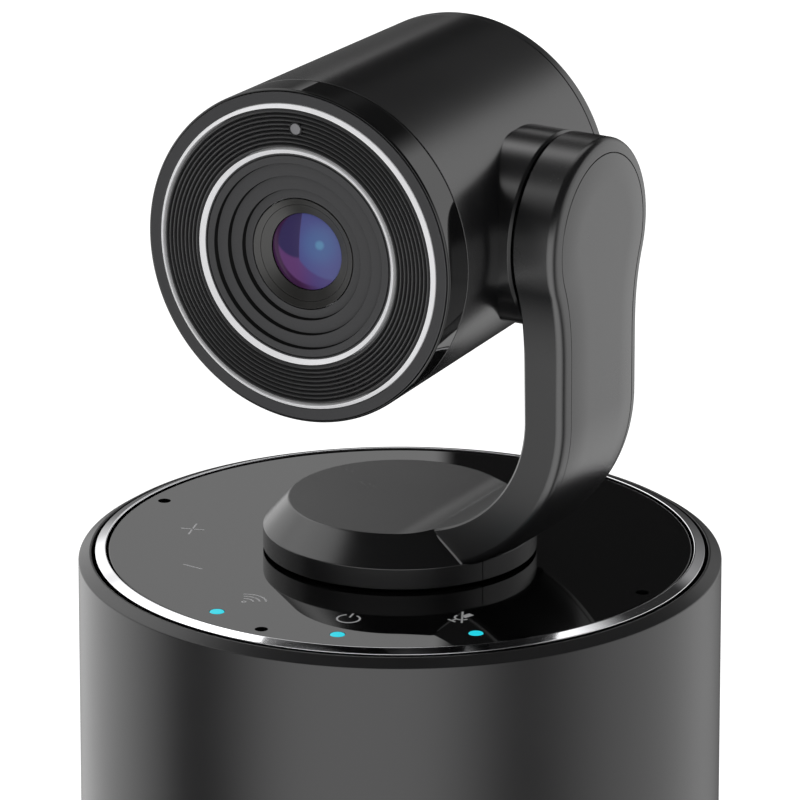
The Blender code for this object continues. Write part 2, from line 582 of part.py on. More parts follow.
def build_head_inside(head):
    sensor = box("sensor_board", (-14, -9.6, -14), (14, -8, 14), BOARD, (0, 0, TILT_Z), head)
    fuse(sensor, box("image_sensor", (-4.5, -11, -3.5), (4.5, -9, 3.5), at=(0, 0, TILT_Z)))
    board = box("processor_board", (-18, 6, -17), (18, 7.6, 17), BOARD, (0, 0, TILT_Z), head)
    fuse(board, box("processor", (-7, 7, -7), (7, 9.4, 7), at=(0, 0, TILT_Z)))
    sink = box("heat_sink", (-16, 9.8, -15), (16, 11.8, 15), ALLOY, (0, 0, TILT_Z), head)
    for fin in range(7):
        x = -15 + fin * 4.8
        fuse(sink, box(f"fin_{fin + 1}", (x, 11, -15), (x + 1.2, 18.5, 15), at=(0, 0, TILT_Z)))


def build_lens(focus):
    head_turned("lens_carrier", [(8.75, 35.1), (8.75, 13.5), (7.5, 13.5), (7.5, 35.1)], MOULDED,
                focus, COARSE)
    head_turned("front_lens", [(0, 35.9), (2.4, 35.8), (4.8, 35.5), (7.2, 34.9), (7.2, 32.5),
                               (0, 32.5)], GLASS, focus, COARSE)
    head_turned("rear_lens", [(0, 21), (7.2, 19.8), (7.2, 16.2), (0, 15.2)], GLASS, focus, COARSE)


def smooth_shading():
    """Keep each piece's finished mesh, smooth with sharp edges over 30 degrees."""
    view = bpy.context.evaluated_depsgraph_get()
    finished = {piece: bpy.data.meshes.new_from_object(piece.evaluated_get(view))
                for piece in PARTS.objects if piece.type == "MESH"}
    for piece, mesh in finished.items():
        mesh.shade_smooth()
        mesh.set_sharp_from_angle(angle=math.radians(30))
        piece.modifiers.clear()
        piece.data = mesh
        mesh.name = piece.name


def main():
    pan = pivot("pan_axis", (0, 0, PANEL_Z))
    pinion = pivot("pinion_axis", (0, PINION_Y, GEAR_LOW))
    cone = pivot("cone_axis", (0, 0, BAFFLE_Z))
    head = pivot("tilt_axis", (0, 0, TILT_Z))
    focus = pivot("focus_axis", (0, -20, TILT_Z))
    build_base_plate()
    build_speaker(cone)
    build_grille()
    build_ports()
    build_main_board()
    build_housing()
    build_panel()
    build_pan_bearing(pan)
    build_pan_drive(pan, pinion)
    build_turntable(pan)
    build_arm(pan)
    build_arm_inside(pan)
    build_shells(head)
    build_face(head)
    build_tilt_joint(head)
    build_head_inside(head)
    build_lens(focus)
    smooth_shading()


main()
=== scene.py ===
# %% [markdown]
# # Conference speakerphone with a pan and tilt camera
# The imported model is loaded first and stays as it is: a fixed frame of named nodes on moving bodies. This
# script covers the nodes that show with finer surfaces, gives every node a finish, and lights the scene.
# Working round a frame, and not from a blank page, means that every joint keeps its true place.

# %% Load the frame
import json
import math

import bmesh
import bpy
import numpy as np
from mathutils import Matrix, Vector


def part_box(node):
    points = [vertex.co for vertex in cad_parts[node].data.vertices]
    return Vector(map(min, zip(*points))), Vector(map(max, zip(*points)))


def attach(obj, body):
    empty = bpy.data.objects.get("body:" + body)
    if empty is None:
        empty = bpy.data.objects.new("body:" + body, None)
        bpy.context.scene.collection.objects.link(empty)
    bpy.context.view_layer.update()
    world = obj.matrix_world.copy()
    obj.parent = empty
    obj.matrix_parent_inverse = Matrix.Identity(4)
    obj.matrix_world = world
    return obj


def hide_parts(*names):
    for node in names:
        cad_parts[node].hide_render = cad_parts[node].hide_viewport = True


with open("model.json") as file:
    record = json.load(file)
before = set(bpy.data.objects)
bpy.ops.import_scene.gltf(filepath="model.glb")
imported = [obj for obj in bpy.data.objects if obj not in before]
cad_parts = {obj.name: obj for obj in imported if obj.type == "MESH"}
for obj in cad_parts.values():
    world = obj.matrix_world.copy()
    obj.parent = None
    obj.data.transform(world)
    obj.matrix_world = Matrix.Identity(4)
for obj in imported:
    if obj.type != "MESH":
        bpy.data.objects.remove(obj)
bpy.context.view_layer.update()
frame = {"nodes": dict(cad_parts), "record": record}

# %% [markdown]
# ## Sizes
# All sizes below are in millimetres, as on a drawing, and MM turns them into metres. The driving ones are
# read from the frame, because a node's own box can't disagree with the model. A list of typed numbers
# would go stale as soon as the model changed.

# %% Driving sizes
MM = 0.001


def extent(node):
    """Lowest and highest corner of a node, in millimetres."""
    low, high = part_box(node)
    return np.array(low) / MM, np.array(high) / MM


BASE_R = extent("housing")[1][0]             # radius of the base
RING_TOP = extent("trim_ring")[1][2]         # top of the trim ring, the datum of the upper pieces
PANEL_TOP = extent("top_panel")[1][2]        # surface of the touch panel
PANEL_R = extent("top_panel")[1][0]
DISC_R = extent("turntable_cap")[1][1]       # radius of the turntable
DISC_TOP = extent("turntable_cap")[1][2]     # its flat top
HUB_R = (extent("tilt_hub")[1] - extent("tilt_hub")[0])[2] / 2
TILT_Z = extent("tilt_hub")[1][2] - HUB_R    # height of the tilt axis
HEAD_FRONT = -extent("front_bezel")[0][1]    # front plane of the head, ahead of the tilt axis
HEAD_BACK = -extent("rear_cap")[1][1]        # back plane of the head
COVER_X = extent("arm_cover")[1][0]          # outer face of the arm
print(f"base radius {BASE_R:.1f}, panel at {PANEL_TOP:.1f}, tilt axis at {TILT_Z:.2f}")

# %% [markdown]
# ## Camera
# The camera stands to the right of the front and above, with a long lens, so that the round panel shows as
# a calm ellipse and near and far edges keep their true sizes. Its place is given from the pan axis: a turn
# to the side, a distance and a height over the ring.

# %% Camera
CAMERA_TURN = math.radians(29.51)    # to the right of the front
CAMERA_PITCH = math.radians(18.92)   # looking down
CAMERA_AWAY, CAMERA_OVER = 1594.13, 574.9    # from the pan axis, and over the ring
LENS = 408.8                         # focal length in millimetres on a 36 mm sensor

towards = np.array([math.sin(CAMERA_TURN), -math.cos(CAMERA_TURN), 0.0])     # from the object to the camera
rightwards = np.array([math.cos(CAMERA_TURN), math.sin(CAMERA_TURN), 0.0])   # to the camera's right
look = -towards * math.cos(CAMERA_PITCH) + np.array([0.0, 0.0, -math.sin(CAMERA_PITCH)])
camera_data = bpy.data.cameras.new("camera")
camera_data.lens = LENS
camera_data.sensor_width = 36.0
camera = bpy.data.objects.new("camera", camera_data)
camera.location = Vector(towards * CAMERA_AWAY + np.array([0, 0, RING_TOP + CAMERA_OVER])) * MM
camera.rotation_euler = Vector(look).to_track_quat("-Z", "Y").to_euler()
bpy.context.scene.collection.objects.link(camera)
bpy.context.scene.camera = camera
print("camera at", [round(v, 3) for v in camera.location])

# %% [markdown]
# ## Surfaces
# Nearly every piece here is round, and a round piece is a profile carried round an axis. A grid of points
# with one direction along the profile and one round the axis says this exactly, so the meshes are worked
# out as whole arrays. Spinning an edge with an operator would do too, but a grid also takes the shapes that
# aren't round, such as the arm, and its formula can be read.

# %% Grids into meshes
def skin(points, close_rows=False, close_columns=False, drop=None):
    """Corners and faces of a grid of points with shape (rows, columns, 3). Four neighbours make a face.
    The last row or column joins the first where asked, and drop marks faces that are left out."""
    rows, columns = points.shape[:2]
    index = np.arange(rows * columns).reshape(rows, columns)
    if close_rows:
        index = np.vstack([index, index[:1]])
    if close_columns:
        index = np.hstack([index, index[:, :1]])
    faces = np.stack([index[:-1, :-1], index[:-1, 1:], index[1:, 1:], index[1:, :-1]], axis=-1)
    if drop is not None:
        faces = faces[~drop]
    return points.reshape(-1, 3), faces.reshape(-1, 4)


def signed_volume(corners, faces):
    """Six times the volume inside the faces, below zero where they look inwards."""
    a, b, c, d = (corners[faces[:, i]] for i in range(4))
    return float(np.sum(a * (np.cross(b, c) + np.cross(c, d))))


def piece_of(name, skins, sharp=32.0):
    """Object made of several skins in millimetres, each turned to look outwards, with repeated points
    merged and edges over the sharp angle kept crisp."""
    corners, faces, count = [], [], 0
    for grid_corners, grid_faces in skins:
        middle = grid_corners.mean(axis=0)
        if signed_volume(grid_corners - middle, grid_faces) < 0:
            grid_faces = grid_faces[:, ::-1]
        corners.append(grid_corners)
        faces.append(grid_faces + count)
        count += len(grid_corners)
    mesh = bpy.data.meshes.new(name)
    mesh.from_pydata((np.concatenate(corners) * MM).tolist(), [], np.concatenate(faces).tolist())
    form = bmesh.new()
    form.from_mesh(mesh)
    bmesh.ops.remove_doubles(form, verts=form.verts, dist=0.000002)
    bmesh.ops.dissolve_degenerate(form, dist=0.000001, edges=form.edges)
    form.to_mesh(mesh)
    form.free()
    mesh.shade_smooth()
    mesh.set_sharp_from_angle(angle=math.radians(sharp))
    piece = bpy.data.objects.new(name, mesh)
    bpy.context.scene.collection.objects.link(piece)
    return piece


# %% [markdown]
# A sharp edge looks false on a moulded piece, because a real one always has a small radius that catches
# the light. `rounded` gives each corner of a profile its own radius. It also puts one point close beside
# each arc, so that the shading of a flat face stays flat right up to its rounded edge.

# %% Rounded profiles and turned pieces
ARC_STEP = 12.0                      # degrees turned by each step of an arc
BESIDE = 0.06                        # distance from an arc to the point beside it


def rounded(corners, closed=True):
    """Outline through (x, y, radius) corners: each corner becomes an arc that touches both its sides.
    An arc starts radius * tan(turn / 2) before its corner, where turn is the change of direction."""
    points = np.array([corner[:2] for corner in corners], float)
    out = []
    last = len(corners) - 1
    for i, (x, y, radius) in enumerate(corners):
        if radius == 0 or (not closed and i in (0, last)):
            out.append([x, y])
            continue
        before = points[i] - points[i - 1]
        after = points[(i + 1) % len(points)] - points[i]
        before, after = before / np.linalg.norm(before), after / np.linalg.norm(after)
        turn = math.atan2(before[0] * after[1] - before[1] * after[0], float(before @ after))
        reach = radius * math.tan(abs(turn) / 2)
        start = points[i] - before * reach
        side = np.array([-before[1], before[0]]) * math.copysign(1.0, turn)
        steps = max(2, math.ceil(math.degrees(abs(turn)) / ARC_STEP))
        angles = np.linspace(0, abs(turn), steps + 1)[:, None]
        arc = start + radius * (np.sin(angles) * before + (1 - np.cos(angles)) * side)
        out.append(start - before * BESIDE)
        out.extend(arc)
        out.append(arc[-1] + after * BESIDE)
    return np.array(out, float)


UPRIGHT, FORWARD, SIDEWAYS = "upright", "forward", "sideways"


def place(radius, angle, height, way, centre=(0.0, 0.0)):
    """Points of a turned shape. Upright is about a vertical axis; forward runs along -Y and sideways along
    +X, both through the tilt axis."""
    across, up = radius * np.cos(angle) + centre[0], radius * np.sin(angle) + centre[1]
    height = height + np.zeros_like(across)
    if way == UPRIGHT:
        return np.stack([across, up, height], axis=-1)
    if way == FORWARD:
        return np.stack([across, -height, up + TILT_Z], axis=-1)
    return np.stack([height, across, up + TILT_Z], axis=-1)


def turned(profile, way=UPRIGHT, sides=192, centre=(0.0, 0.0)):
    """Skin of a profile of (radius, height) points carried round an axis. A profile that starts and ends
    on the axis makes a solid, and any other closes on itself and makes a ring."""
    profile = np.asarray(profile, float)
    angle = np.linspace(0, 2 * math.pi, sides, endpoint=False)[None, :]
    points = place(profile[:, :1], angle, profile[:, 1:], way, centre)
    return skin(points, close_rows=profile[0][0] > 0, close_columns=True)


# %% [markdown]
# ## Finishes
# A finish is a small tree of shader nodes. Wiring them by hand is long, so `Value` wraps a socket and lets
# Python's own operators add the Math nodes, and `Finish` adds every other node with one method. Only what
# changes over a surface is wired; whatever is the same all over is set straight on the shader.

# %% Shader expressions
class Value:
    """A number in a finish. An operator on it adds the Math node that works the result out."""

    def __init__(self, tree, socket):
        self.tree, self.socket = tree, socket

    def math(self, operation, *others):
        node = self.tree.nodes.new("ShaderNodeMath")
        node.operation = operation
        for socket, value in zip(node.inputs, (self, *others)):
            if isinstance(value, Value):
                self.tree.links.new(value.socket, socket)
            else:
                socket.default_value = value
        return Value(self.tree, node.outputs[0])

    def __add__(self, other):
        return self.math("ADD", other)

    __radd__ = __add__

    def __sub__(self, other):
        return self.math("SUBTRACT", other)

    def __rsub__(self, other):
        return (self * -1.0) + other

    def __mul__(self, other):
        return self.math("MULTIPLY", other)

    __rmul__ = __mul__


def wire(tree, kind, settings=None, inputs=None, out=0):
    """One node of any kind: its settings first, then the values or links of its sockets."""
    node = tree.nodes.new(kind)
    for key, value in (settings or {}).items():
        setattr(node, key, value)
    for key, value in (inputs or {}).items():
        if isinstance(value, Value):
            tree.links.new(value.socket, node.inputs[key])
        else:
            node.inputs[key].default_value = value
    return Value(tree, node.outputs[out])


def step(value, start, end):
    """Smooth change from 0 where value is start to 1 where it is end."""
    return wire(value.tree, "ShaderNodeMapRange", {"interpolation_type": "SMOOTHSTEP"},
                {"Value": value, "From Min": start, "From Max": end})


class Finish:
    """A material with one Principled shader, whose constants are given by name."""

    def __init__(self, name, color, roughness, **constants):
        self.material = bpy.data.materials.new(name)
        self.material.use_nodes = True
        self.tree = self.material.node_tree
        self.shader = self.tree.nodes["Principled BSDF"]
        self.shader.inputs["Base Color"].default_value = (*color, 1.0)
        self.shader.inputs["Roughness"].default_value = roughness
        for key, value in constants.items():
            self.shader.inputs[key.replace("_", " ").title().replace("Ior", "IOR")].default_value = value
        self.place = self.node("ShaderNodeTexCoord", out=3)      # Object coordinates

    def node(self, kind, settings=None, inputs=None, out=0):
        return wire(self.tree, kind, settings, inputs, out)

    def feed(self, socket, value):
        self.tree.links.new(value.socket, self.shader.inputs[socket])

    def noise(self, size_mm, detail=2.0):
        """Cloudy value about 0.5, with lumps of about that size."""
        return self.node("ShaderNodeTexNoise", None,
                         {"Vector": self.place, "Scale": 1.0 / (size_mm * MM), "Detail": detail})

    def mix(self, factor, first, second):
        """Colour between two colours."""
        node = self.tree.nodes.new("ShaderNodeMix")
        node.data_type = "RGBA"
        for socket, value in ((node.inputs[0], factor), (node.inputs[6], first), (node.inputs[7], second)):
            if isinstance(value, Value):
                self.tree.links.new(value.socket, socket)
            else:
                socket.default_value = value if isinstance(value, float) else (*value, 1.0)
        return Value(self.tree, node.outputs[2])

    def bump(self, height, distance_mm):
        """Surface relief from a height of 0 to 1."""
        self.feed("Normal", self.node("ShaderNodeBump", None, {"Height": height, "Strength": 1.0,
                                                              "Distance": distance_mm * MM}))


# %% [markdown]
# ### Moulded and painted finishes
# The housings are moulded plastic under a soft-touch satin paint: nearly black, with broad soft highlights.
# Painted plastic is never one value all over. Its orange peel is a relief of a few micrometres, and its
# gloss drifts a little from place to place. Both come from noise read at the object's own scale.

# %% Satin, moulded, rubber and paper
def satin(name, color, roughness, specular=0.5):
    """Satin paint: fine orange peel, and a gloss that drifts slowly."""
    finish = Finish(name, color, roughness, specular_ior_level=specular)
    drift = finish.noise(22.0, 3.0)
    grain = finish.noise(0.35, 2.0)
    finish.feed("Roughness", roughness + (drift - 0.5) * 0.05 + (grain - 0.5) * 0.04)
    tint = step(drift, 0.3, 0.7)
    finish.feed("Base Color", finish.mix(tint, [c * 0.94 for c in color], [c * 1.06 for c in color]))
    finish.bump(grain, 0.0012)
    return finish.material


def moulded(name, color, roughness, grain_mm=0.5, depth_mm=0.012, specular=0.35):
    """Bare moulded plastic or rubber with a spark-eroded grain."""
    finish = Finish(name, color, roughness, specular_ior_level=specular)
    grain = finish.noise(grain_mm, 3.0)
    finish.feed("Roughness", roughness + (grain - 0.5) * 0.12)
    finish.feed("Base Color", finish.mix(grain, [c * 0.85 for c in color], [c * 1.15 for c in color]))
    finish.bump(grain, depth_mm)
    return finish.material


def fibre(name, color):
    """Pressed paper pulp: short fibres that lie at random."""
    finish = Finish(name, color, 0.85, specular_ior_level=0.2)
    cloud = finish.noise(1.4, 6.0)
    strand = finish.node("ShaderNodeTexVoronoi", {"feature": "DISTANCE_TO_EDGE"},
                         {"Vector": finish.place, "Scale": 1400.0})
    finish.feed("Base Color", finish.mix(cloud, [c * 0.6 for c in color], [c * 1.5 for c in color]))
    finish.bump(cloud + strand * 0.4, 0.03)
    return finish.material


def punched(name, color):
    """Thin sheet with a close pattern of tiny dark holes."""
    finish = Finish(name, color, 0.5, specular_ior_level=0.3)
    cells = finish.node("ShaderNodeTexVoronoi", None,
                        {"Vector": finish.place, "Scale": 1100.0, "Randomness": 0.0})
    solid = step(cells, 0.30, 0.38)
    finish.feed("Base Color", finish.mix(solid, (0.001, 0.001, 0.001), color))
    finish.bump(solid, 0.05)
    return finish.material


SATIN_BASE = satin("satin_base", (0.0125, 0.0122, 0.0128), 0.30)
SATIN_HEAD = satin("satin_head", (0.0060, 0.0060, 0.0064), 0.21, 0.75)
SATIN_ARM = satin("satin_arm", (0.0090, 0.0090, 0.0094), 0.26, 0.75)
MOULDED = moulded("moulded", (0.012, 0.012, 0.0125), 0.50)
RUBBER = moulded("rubber", (0.014, 0.014, 0.014), 0.80, 0.9, 0.03, 0.25)
PAPER = fibre("speaker_paper", (0.03, 0.029, 0.028))
PUNCHED = punched("punched_screen", (0.010, 0.010, 0.0105))
print("satin and moulded finishes made")

# %% [markdown]
# ### Gloss, metal and light finishes
# The touch panel and the front band are piano black: a mirror over black, so almost all that they show is
# what stands round them. The trim ring is polished, and the two rings of the face are matt silver paint
# with a faint white glow, which is painted light that brightens them.
# Noise at two scales gives the metals their fine tool marks and the slow drift of their polish.

# %% Gloss, metals, boards and lights
def gloss(name, color, roughness):
    """Polished plastic with the faintest drift in its gloss."""
    finish = Finish(name, color, roughness)
    drift = finish.noise(14.0, 2.0)
    finish.feed("Roughness", roughness + (drift - 0.5) * 0.01)
    return finish.material


def metal(name, color, roughness, metallic=1.0, **constants):
    """Machined metal with short marks from the tool."""
    finish = Finish(name, color, roughness, metallic=metallic, **constants)
    marks = finish.noise(0.25, 4.0)
    drift = finish.noise(6.0, 2.0)
    finish.feed("Roughness", roughness + (marks - 0.5) * 0.10 + (drift - 0.5) * 0.06)
    dull, clean = [c * 0.93 for c in color], [min(1.0, c * 1.05) for c in color]
    finish.feed("Base Color", finish.mix(drift, dull, clean))
    finish.bump(marks, 0.002)
    return finish.material


def board(name, mask, copper):
    """Circuit board: solder mask over a maze of tracks."""
    finish = Finish(name, mask, 0.42)
    cells = finish.node("ShaderNodeTexVoronoi", {"distance": "MANHATTAN", "feature": "F1"},
                        {"Vector": finish.place, "Scale": 420.0, "Randomness": 0.8})
    tracks = step(cells, 0.42, 0.48)
    finish.feed("Base Color", finish.mix(tracks, mask, copper))
    finish.feed("Roughness", 0.42 - tracks * 0.12)
    finish.bump(tracks, 0.03)
    return finish.material


def glow(name, color, strength, edge):
    """Light pipe seen from its end: lit all over, a little dimmer in its grain."""
    finish = Finish(name, edge, 0.30, emission_strength=strength)
    grain = finish.noise(0.6, 2.0)
    finish.feed("Emission Color", finish.mix(grain, [c * 0.93 for c in color], color))
    return finish.material


GLOSS_PANEL = gloss("gloss_panel", (0.0020, 0.0020, 0.0021), 0.012)
GLOSS_BAND = gloss("gloss_band", (0.0050, 0.0050, 0.0052), 0.035)
BRIGHT = metal("bright_trim", (0.92, 0.92, 0.94), 0.06)
# Matt silver paint with a faint white glow: painted light that brightens the two rings of the face.
SILVER_PAINTED_GLOW = metal("silver_ring_painted_glow", (0.93, 0.93, 0.95), 0.30, 0.0, emission_strength=0.12)
# Light grey satin for the bead by the arm: its colour is a painted highlight.
PAINTED_BEAD_HIGHLIGHT = satin("bead_painted_highlight", (0.22, 0.22, 0.225), 0.30)
# Lighter grey satin for the line round the hub's edge: a painted highlight.
PAINTED_EDGE_HIGHLIGHT = satin("hub_edge_painted_highlight", (0.060, 0.060, 0.062), 0.24, 0.8)
STEEL = metal("steel", (0.55, 0.55, 0.56), 0.32)
ALLOY = metal("alloy", (0.60, 0.61, 0.62), 0.42)
BRASS = metal("brass", (0.72, 0.52, 0.22), 0.34)
ACETAL = moulded("white_acetal", (0.80, 0.79, 0.75), 0.40, 1.2, 0.008)
CABLE = moulded("cable_film", (0.55, 0.28, 0.06), 0.40, 2.0, 0.01)
BOARD = board("circuit_board", (0.010, 0.060, 0.030), (0.05, 0.19, 0.09))
CYAN = glow("cyan_light", (0.010, 0.62, 0.74), 1.0, (0.01, 0.1, 0.12))
PRINT = moulded("printed_symbol", (0.55, 0.55, 0.56), 0.5, 0.3, 0.002)
DOT = moulded("grey_light", (0.24, 0.24, 0.25), 0.35, 0.4, 0.004)
PLATE = moulded("face_plate", (0.055, 0.055, 0.057), 0.62, 0.25, 0.003, 0.3)
RIM = satin("face_rim", (0.033, 0.033, 0.035), 0.40, 0.4)
RIBS = moulded("ribbed_plastic", (0.036, 0.036, 0.037), 0.42, 0.3, 0.002, 0.5)
print("gloss, metal and light finishes made")

# %% [markdown]
# ## Base
# The base is a drum that stands on a rubber foot. Its lower half is a slotted grille round the speaker, and
# its upper half is a plain housing. The housing ends at the top in a wide flat chamfer, which shows as a
# dark band, and then in a narrow land that lies a little below the trim ring.

# %% Fitting pieces to the frame
def fit(piece, body, slot, finish, *nodes):
    """Give a piece its finish and its body, and hide the nodes it stands for; slot, the slot it is painted
    from, is not used.
    """
    piece.data.materials.append(finish)
    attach(piece, body)
    if nodes:
        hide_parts(*nodes)
    print(f"{piece.name}: {len(piece.data.polygons)} faces")


def lathe(name, profile, way, sides, *fitting):
    """Make and fit a piece that is turned from one profile."""
    fit(piece_of(name, [turned(profile, way, sides)]), *fitting)


# %% Foot, base plate and housing
foot_r, _, foot_top = extent("rubber_foot")[1]
foot = rounded([(0, foot_top, 0), (foot_r, foot_top, 0.6), (foot_r, 0, 0.8), (foot_r - 4, 0, 0.2),
                (foot_r - 4, 0.5, 0.1), (foot_r - 7, 0.5, 0.1), (foot_r - 7, 0, 0.2), (0, 0, 0)],
               closed=False)
lathe("rubber_foot_fine", foot, UPRIGHT, 192, "base", "rubber", RUBBER, "rubber_foot")

plate_low, plate_high = extent("base_plate")
grille_low, grille_high = extent("speaker_grille")
WALL = 1.8                           # thickness of the grille and the housing's rim
SHADOW_GAP = 0.3                     # gap between shells
ROUND = 256                          # sides of the large round pieces
SPIGOT_R = BASE_R - WALL - 0.6       # part of the base plate that stands inside the grille
plate = rounded([(0, plate_high[2], 0), (SPIGOT_R, plate_high[2], 0.3),
                 (SPIGOT_R, grille_low[2] - SHADOW_GAP, 0.1),
                 (BASE_R, grille_low[2] - SHADOW_GAP, 0.3), (BASE_R, plate_low[2] + 1.5, 1.2),
                 (BASE_R - 1.5, plate_low[2], 0.8), (0, plate_low[2], 0)], closed=False)
lathe("base_plate_fine", plate, UPRIGHT, ROUND, "base", "moulded", MOULDED, "base_plate")

# The housing's outer wall, its chamfer, and a step inside that carries the trim ring
house_foot = extent("housing")[0][2]
RING_R = extent("trim_ring")[1][0]
RING_ROOM = 0.45                     # gap between the trim ring and the housing's land
CHAMFER_DOWN, CHAMFER_IN, LAND_DOWN = 2.18, 2.05, 0.85
house = rounded([(BASE_R, house_foot, 0.25), (BASE_R, RING_TOP - CHAMFER_DOWN, 0.35),
                 (BASE_R - CHAMFER_IN, RING_TOP - LAND_DOWN, 0.15),
                 (RING_R + RING_ROOM, RING_TOP - LAND_DOWN, 0.1), (RING_R + RING_ROOM, RING_TOP - 1.6, 0),
                 (RING_R - 1, RING_TOP - 9, 0), (BASE_R - 2 * WALL, RING_TOP - 12, 0),
                 (BASE_R - 2 * WALL, house_foot, 0.2)])
lathe("housing_fine", house, UPRIGHT, ROUND, "base", "satin_base", SATIN_BASE, "housing")

# %% [markdown]
# ### Speaker grille
# Sixty upright slots with round ends run round the lower half. Cutting sixty holes with Booleans is slow and
# leaves ragged shading, so the grille is one sheet on a grid of angle and height. The faces where a slot is
# are left out, and at a slot's ends its two edge lines close in along a half circle. A Solidify modifier
# then gives the sheet its wall.

# %% Speaker grille
SLOTS = 60
SLOT_HALF = 1.3                      # half a slot's width
SLOT_LOW, SLOT_TOP = 16.0, 78.0
port_low, port_high = extent("port_block")
BEHIND_LOW = port_high[2] + 8        # lower end of the slots above the ports

ends = SLOT_HALF * (1 - np.cos(np.linspace(0, math.pi / 2, 6)))
levels = np.unique(np.round(np.concatenate([
    [grille_low[2], grille_low[2] + 0.3, port_low[2] - 0.3, port_high[2] + 0.3, grille_high[2] - 0.3],
    [grille_high[2], 50.0, 64.0], SLOT_LOW + ends, BEHIND_LOW + ends, SLOT_TOP - ends]), 5))
centres = 2 * math.pi * (np.arange(SLOTS) + 0.5) / SLOTS
behind = (np.sin(centres) > 0) & (np.abs(BASE_R * np.cos(centres)) < port_high[0] + 4)
slot_start = np.where(behind, BEHIND_LOW, SLOT_LOW)


def slot_half_width(height):
    """Half the slot's width at each height: full between its ends, closing along a half circle, and full
    again beyond them, where there is no slot."""
    up, down = height[:, None] - slot_start[None, :], SLOT_TOP - height[:, None]
    inside = np.clip(np.minimum(up, down), 0, SLOT_HALF)
    round_end = np.sqrt(np.maximum(SLOT_HALF ** 2 - (SLOT_HALF - inside) ** 2, 0))
    return np.where((up < -1e-6) | (down < -1e-6), SLOT_HALF, round_end)


slot_turn = slot_half_width(levels) / BASE_R
pitch = math.pi / SLOTS              # half the angle between two slots
angle = np.stack([centres - pitch + 0 * slot_turn, centres - slot_turn, centres + slot_turn], axis=-1)
angle = angle.reshape(len(levels), -1)
inset = np.where((levels < grille_low[2] + 0.1) | (levels > grille_high[2] - 0.1), 0.25, 0.0)[:, None]
sheet = np.stack([(BASE_R - inset) * np.cos(angle), (BASE_R - inset) * np.sin(angle),
                  levels[:, None] + 0 * angle], axis=-1)
middle = (levels[1:] + levels[:-1]) / 2
is_slot = (middle[:, None] > slot_start) & (middle[:, None] < SLOT_TOP)
in_window = (middle > port_low[2] - 0.4) & (middle < port_high[2] + 0.4)
window_half = math.asin((port_high[0] + 0.3) / BASE_R)
hole = np.zeros((len(middle), SLOTS * 3), bool)
hole[:, 1::3] = is_slot
column_middle = np.stack([centres - pitch * 0.7, centres, centres + pitch * 0.7], axis=-1).reshape(-1)
window = in_window[:, None] & (np.abs(column_middle - math.pi / 2) < window_half)[None, :]
hole |= window


def walled(name, points, drop, thickness):
    """Piece from a sheet on a grid, with a wall that grows inwards."""
    piece = piece_of(name, [skin(points, close_columns=True, drop=drop)])
    wall = piece.modifiers.new("wall", "SOLIDIFY")
    wall.thickness = thickness * MM
    wall.offset = -1.0
    return piece


grille = walled("speaker_grille_fine", sheet, hole, WALL)
fit(grille, "base", "satin_base", SATIN_BASE, "speaker_grille")

# %% [markdown]
# Nobody can look through a real grille, because a finely punched dust screen lines it. The same grid, drawn
# in to just inside the grille and without its slots, gives the screen. Its holes are far too small and too
# many to model, so they are a dot pattern in its finish.

# %% Dust screen
SCREEN_R = BASE_R - WALL - 0.12
lined = sheet * [SCREEN_R / BASE_R, SCREEN_R / BASE_R, 1.0]
fit(walled("dust_screen", lined, window, 0.15), "base", "moulded", PUNCHED)

# %% [markdown]
# ### Trim ring and touch panel
# A polished ring frames the panel. Its top isn't flat: it falls away outwards, so that it goes from white
# to black as it turns round, with a thin bright line on each edge. The panel is one black disc with four
# microphone holes and three light holes. The grid's rows swing out and in to run through the holes, and
# each square of cells round a hole is warped into a circle and sunk.

# %% Trim ring
RING_IN, RING_OUT = 54.85, RING_R - 0.25     # inner and outer radius of the ring
RING_LAND = 0.28                     # flat land at its inner edge
RING_FALL, RING_DEEP = 0.62, 5.0     # fall of its top to the outside, and its height
trim = rounded([(RING_OUT, RING_TOP - RING_FALL, 0.12), (RING_OUT, RING_TOP - RING_DEEP, 0),
                (RING_IN, RING_TOP - RING_DEEP, 0),
                (RING_IN, RING_TOP, 0.12), (RING_IN + RING_LAND, RING_TOP, 0.05)])
lathe("trim_ring_fine", trim, UPRIGHT, 320, "base", "bright_trim", BRIGHT, "trim_ring")

# %% Touch panel with its holes
MIC_CIRCLE, MIC_HOLE = 51.2, 1.2
LIGHT_CIRCLE, LIGHT_HOLE = 48.6, 1.42
LIGHTS = {"mute": -44.0, "power": -74.0, "wireless": -104.0}
HOLE_DEPTH = 1.2
spots = [(90.0 * i, MIC_CIRCLE, MIC_HOLE) for i in range(4)]
spots += [(angle % 360, LIGHT_CIRCLE, LIGHT_HOLE) for angle in LIGHTS.values()]
spots.sort()
_, spot_circle, spot_size = (np.array(column) for column in zip(*spots))
across = np.array([-2, -1.6, -1.25, -1.02, -1, -0.72, -0.4, 0, 0.4, 0.72, 1, 1.02, 1.25, 1.6, 2])


def panel_columns():
    """Angle of every column, with the local coordinate across the nearest hole and that hole's number."""
    angles, local, owner = [], [], []
    for i, (angle_deg, circle, size) in enumerate(spots):
        width = across * size / circle
        angles.append(math.radians(angle_deg) + width)
        local.append(across)
        owner.append(np.full(len(across), i))
        ahead = spots[(i + 1) % len(spots)]
        gap_end = math.radians(ahead[0] + (360 if i == len(spots) - 1 else 0)) - 2 * ahead[2] / ahead[1]
        gap = np.linspace(angles[-1][-1], gap_end, 26)[1:-1]
        angles.append(gap)
        local.append(np.full(len(gap), 9.0))
        share = np.linspace(0, 1, 26)[1:-1]
        owner.append(i + share)
    return (np.concatenate(column) for column in (angles, local, owner))


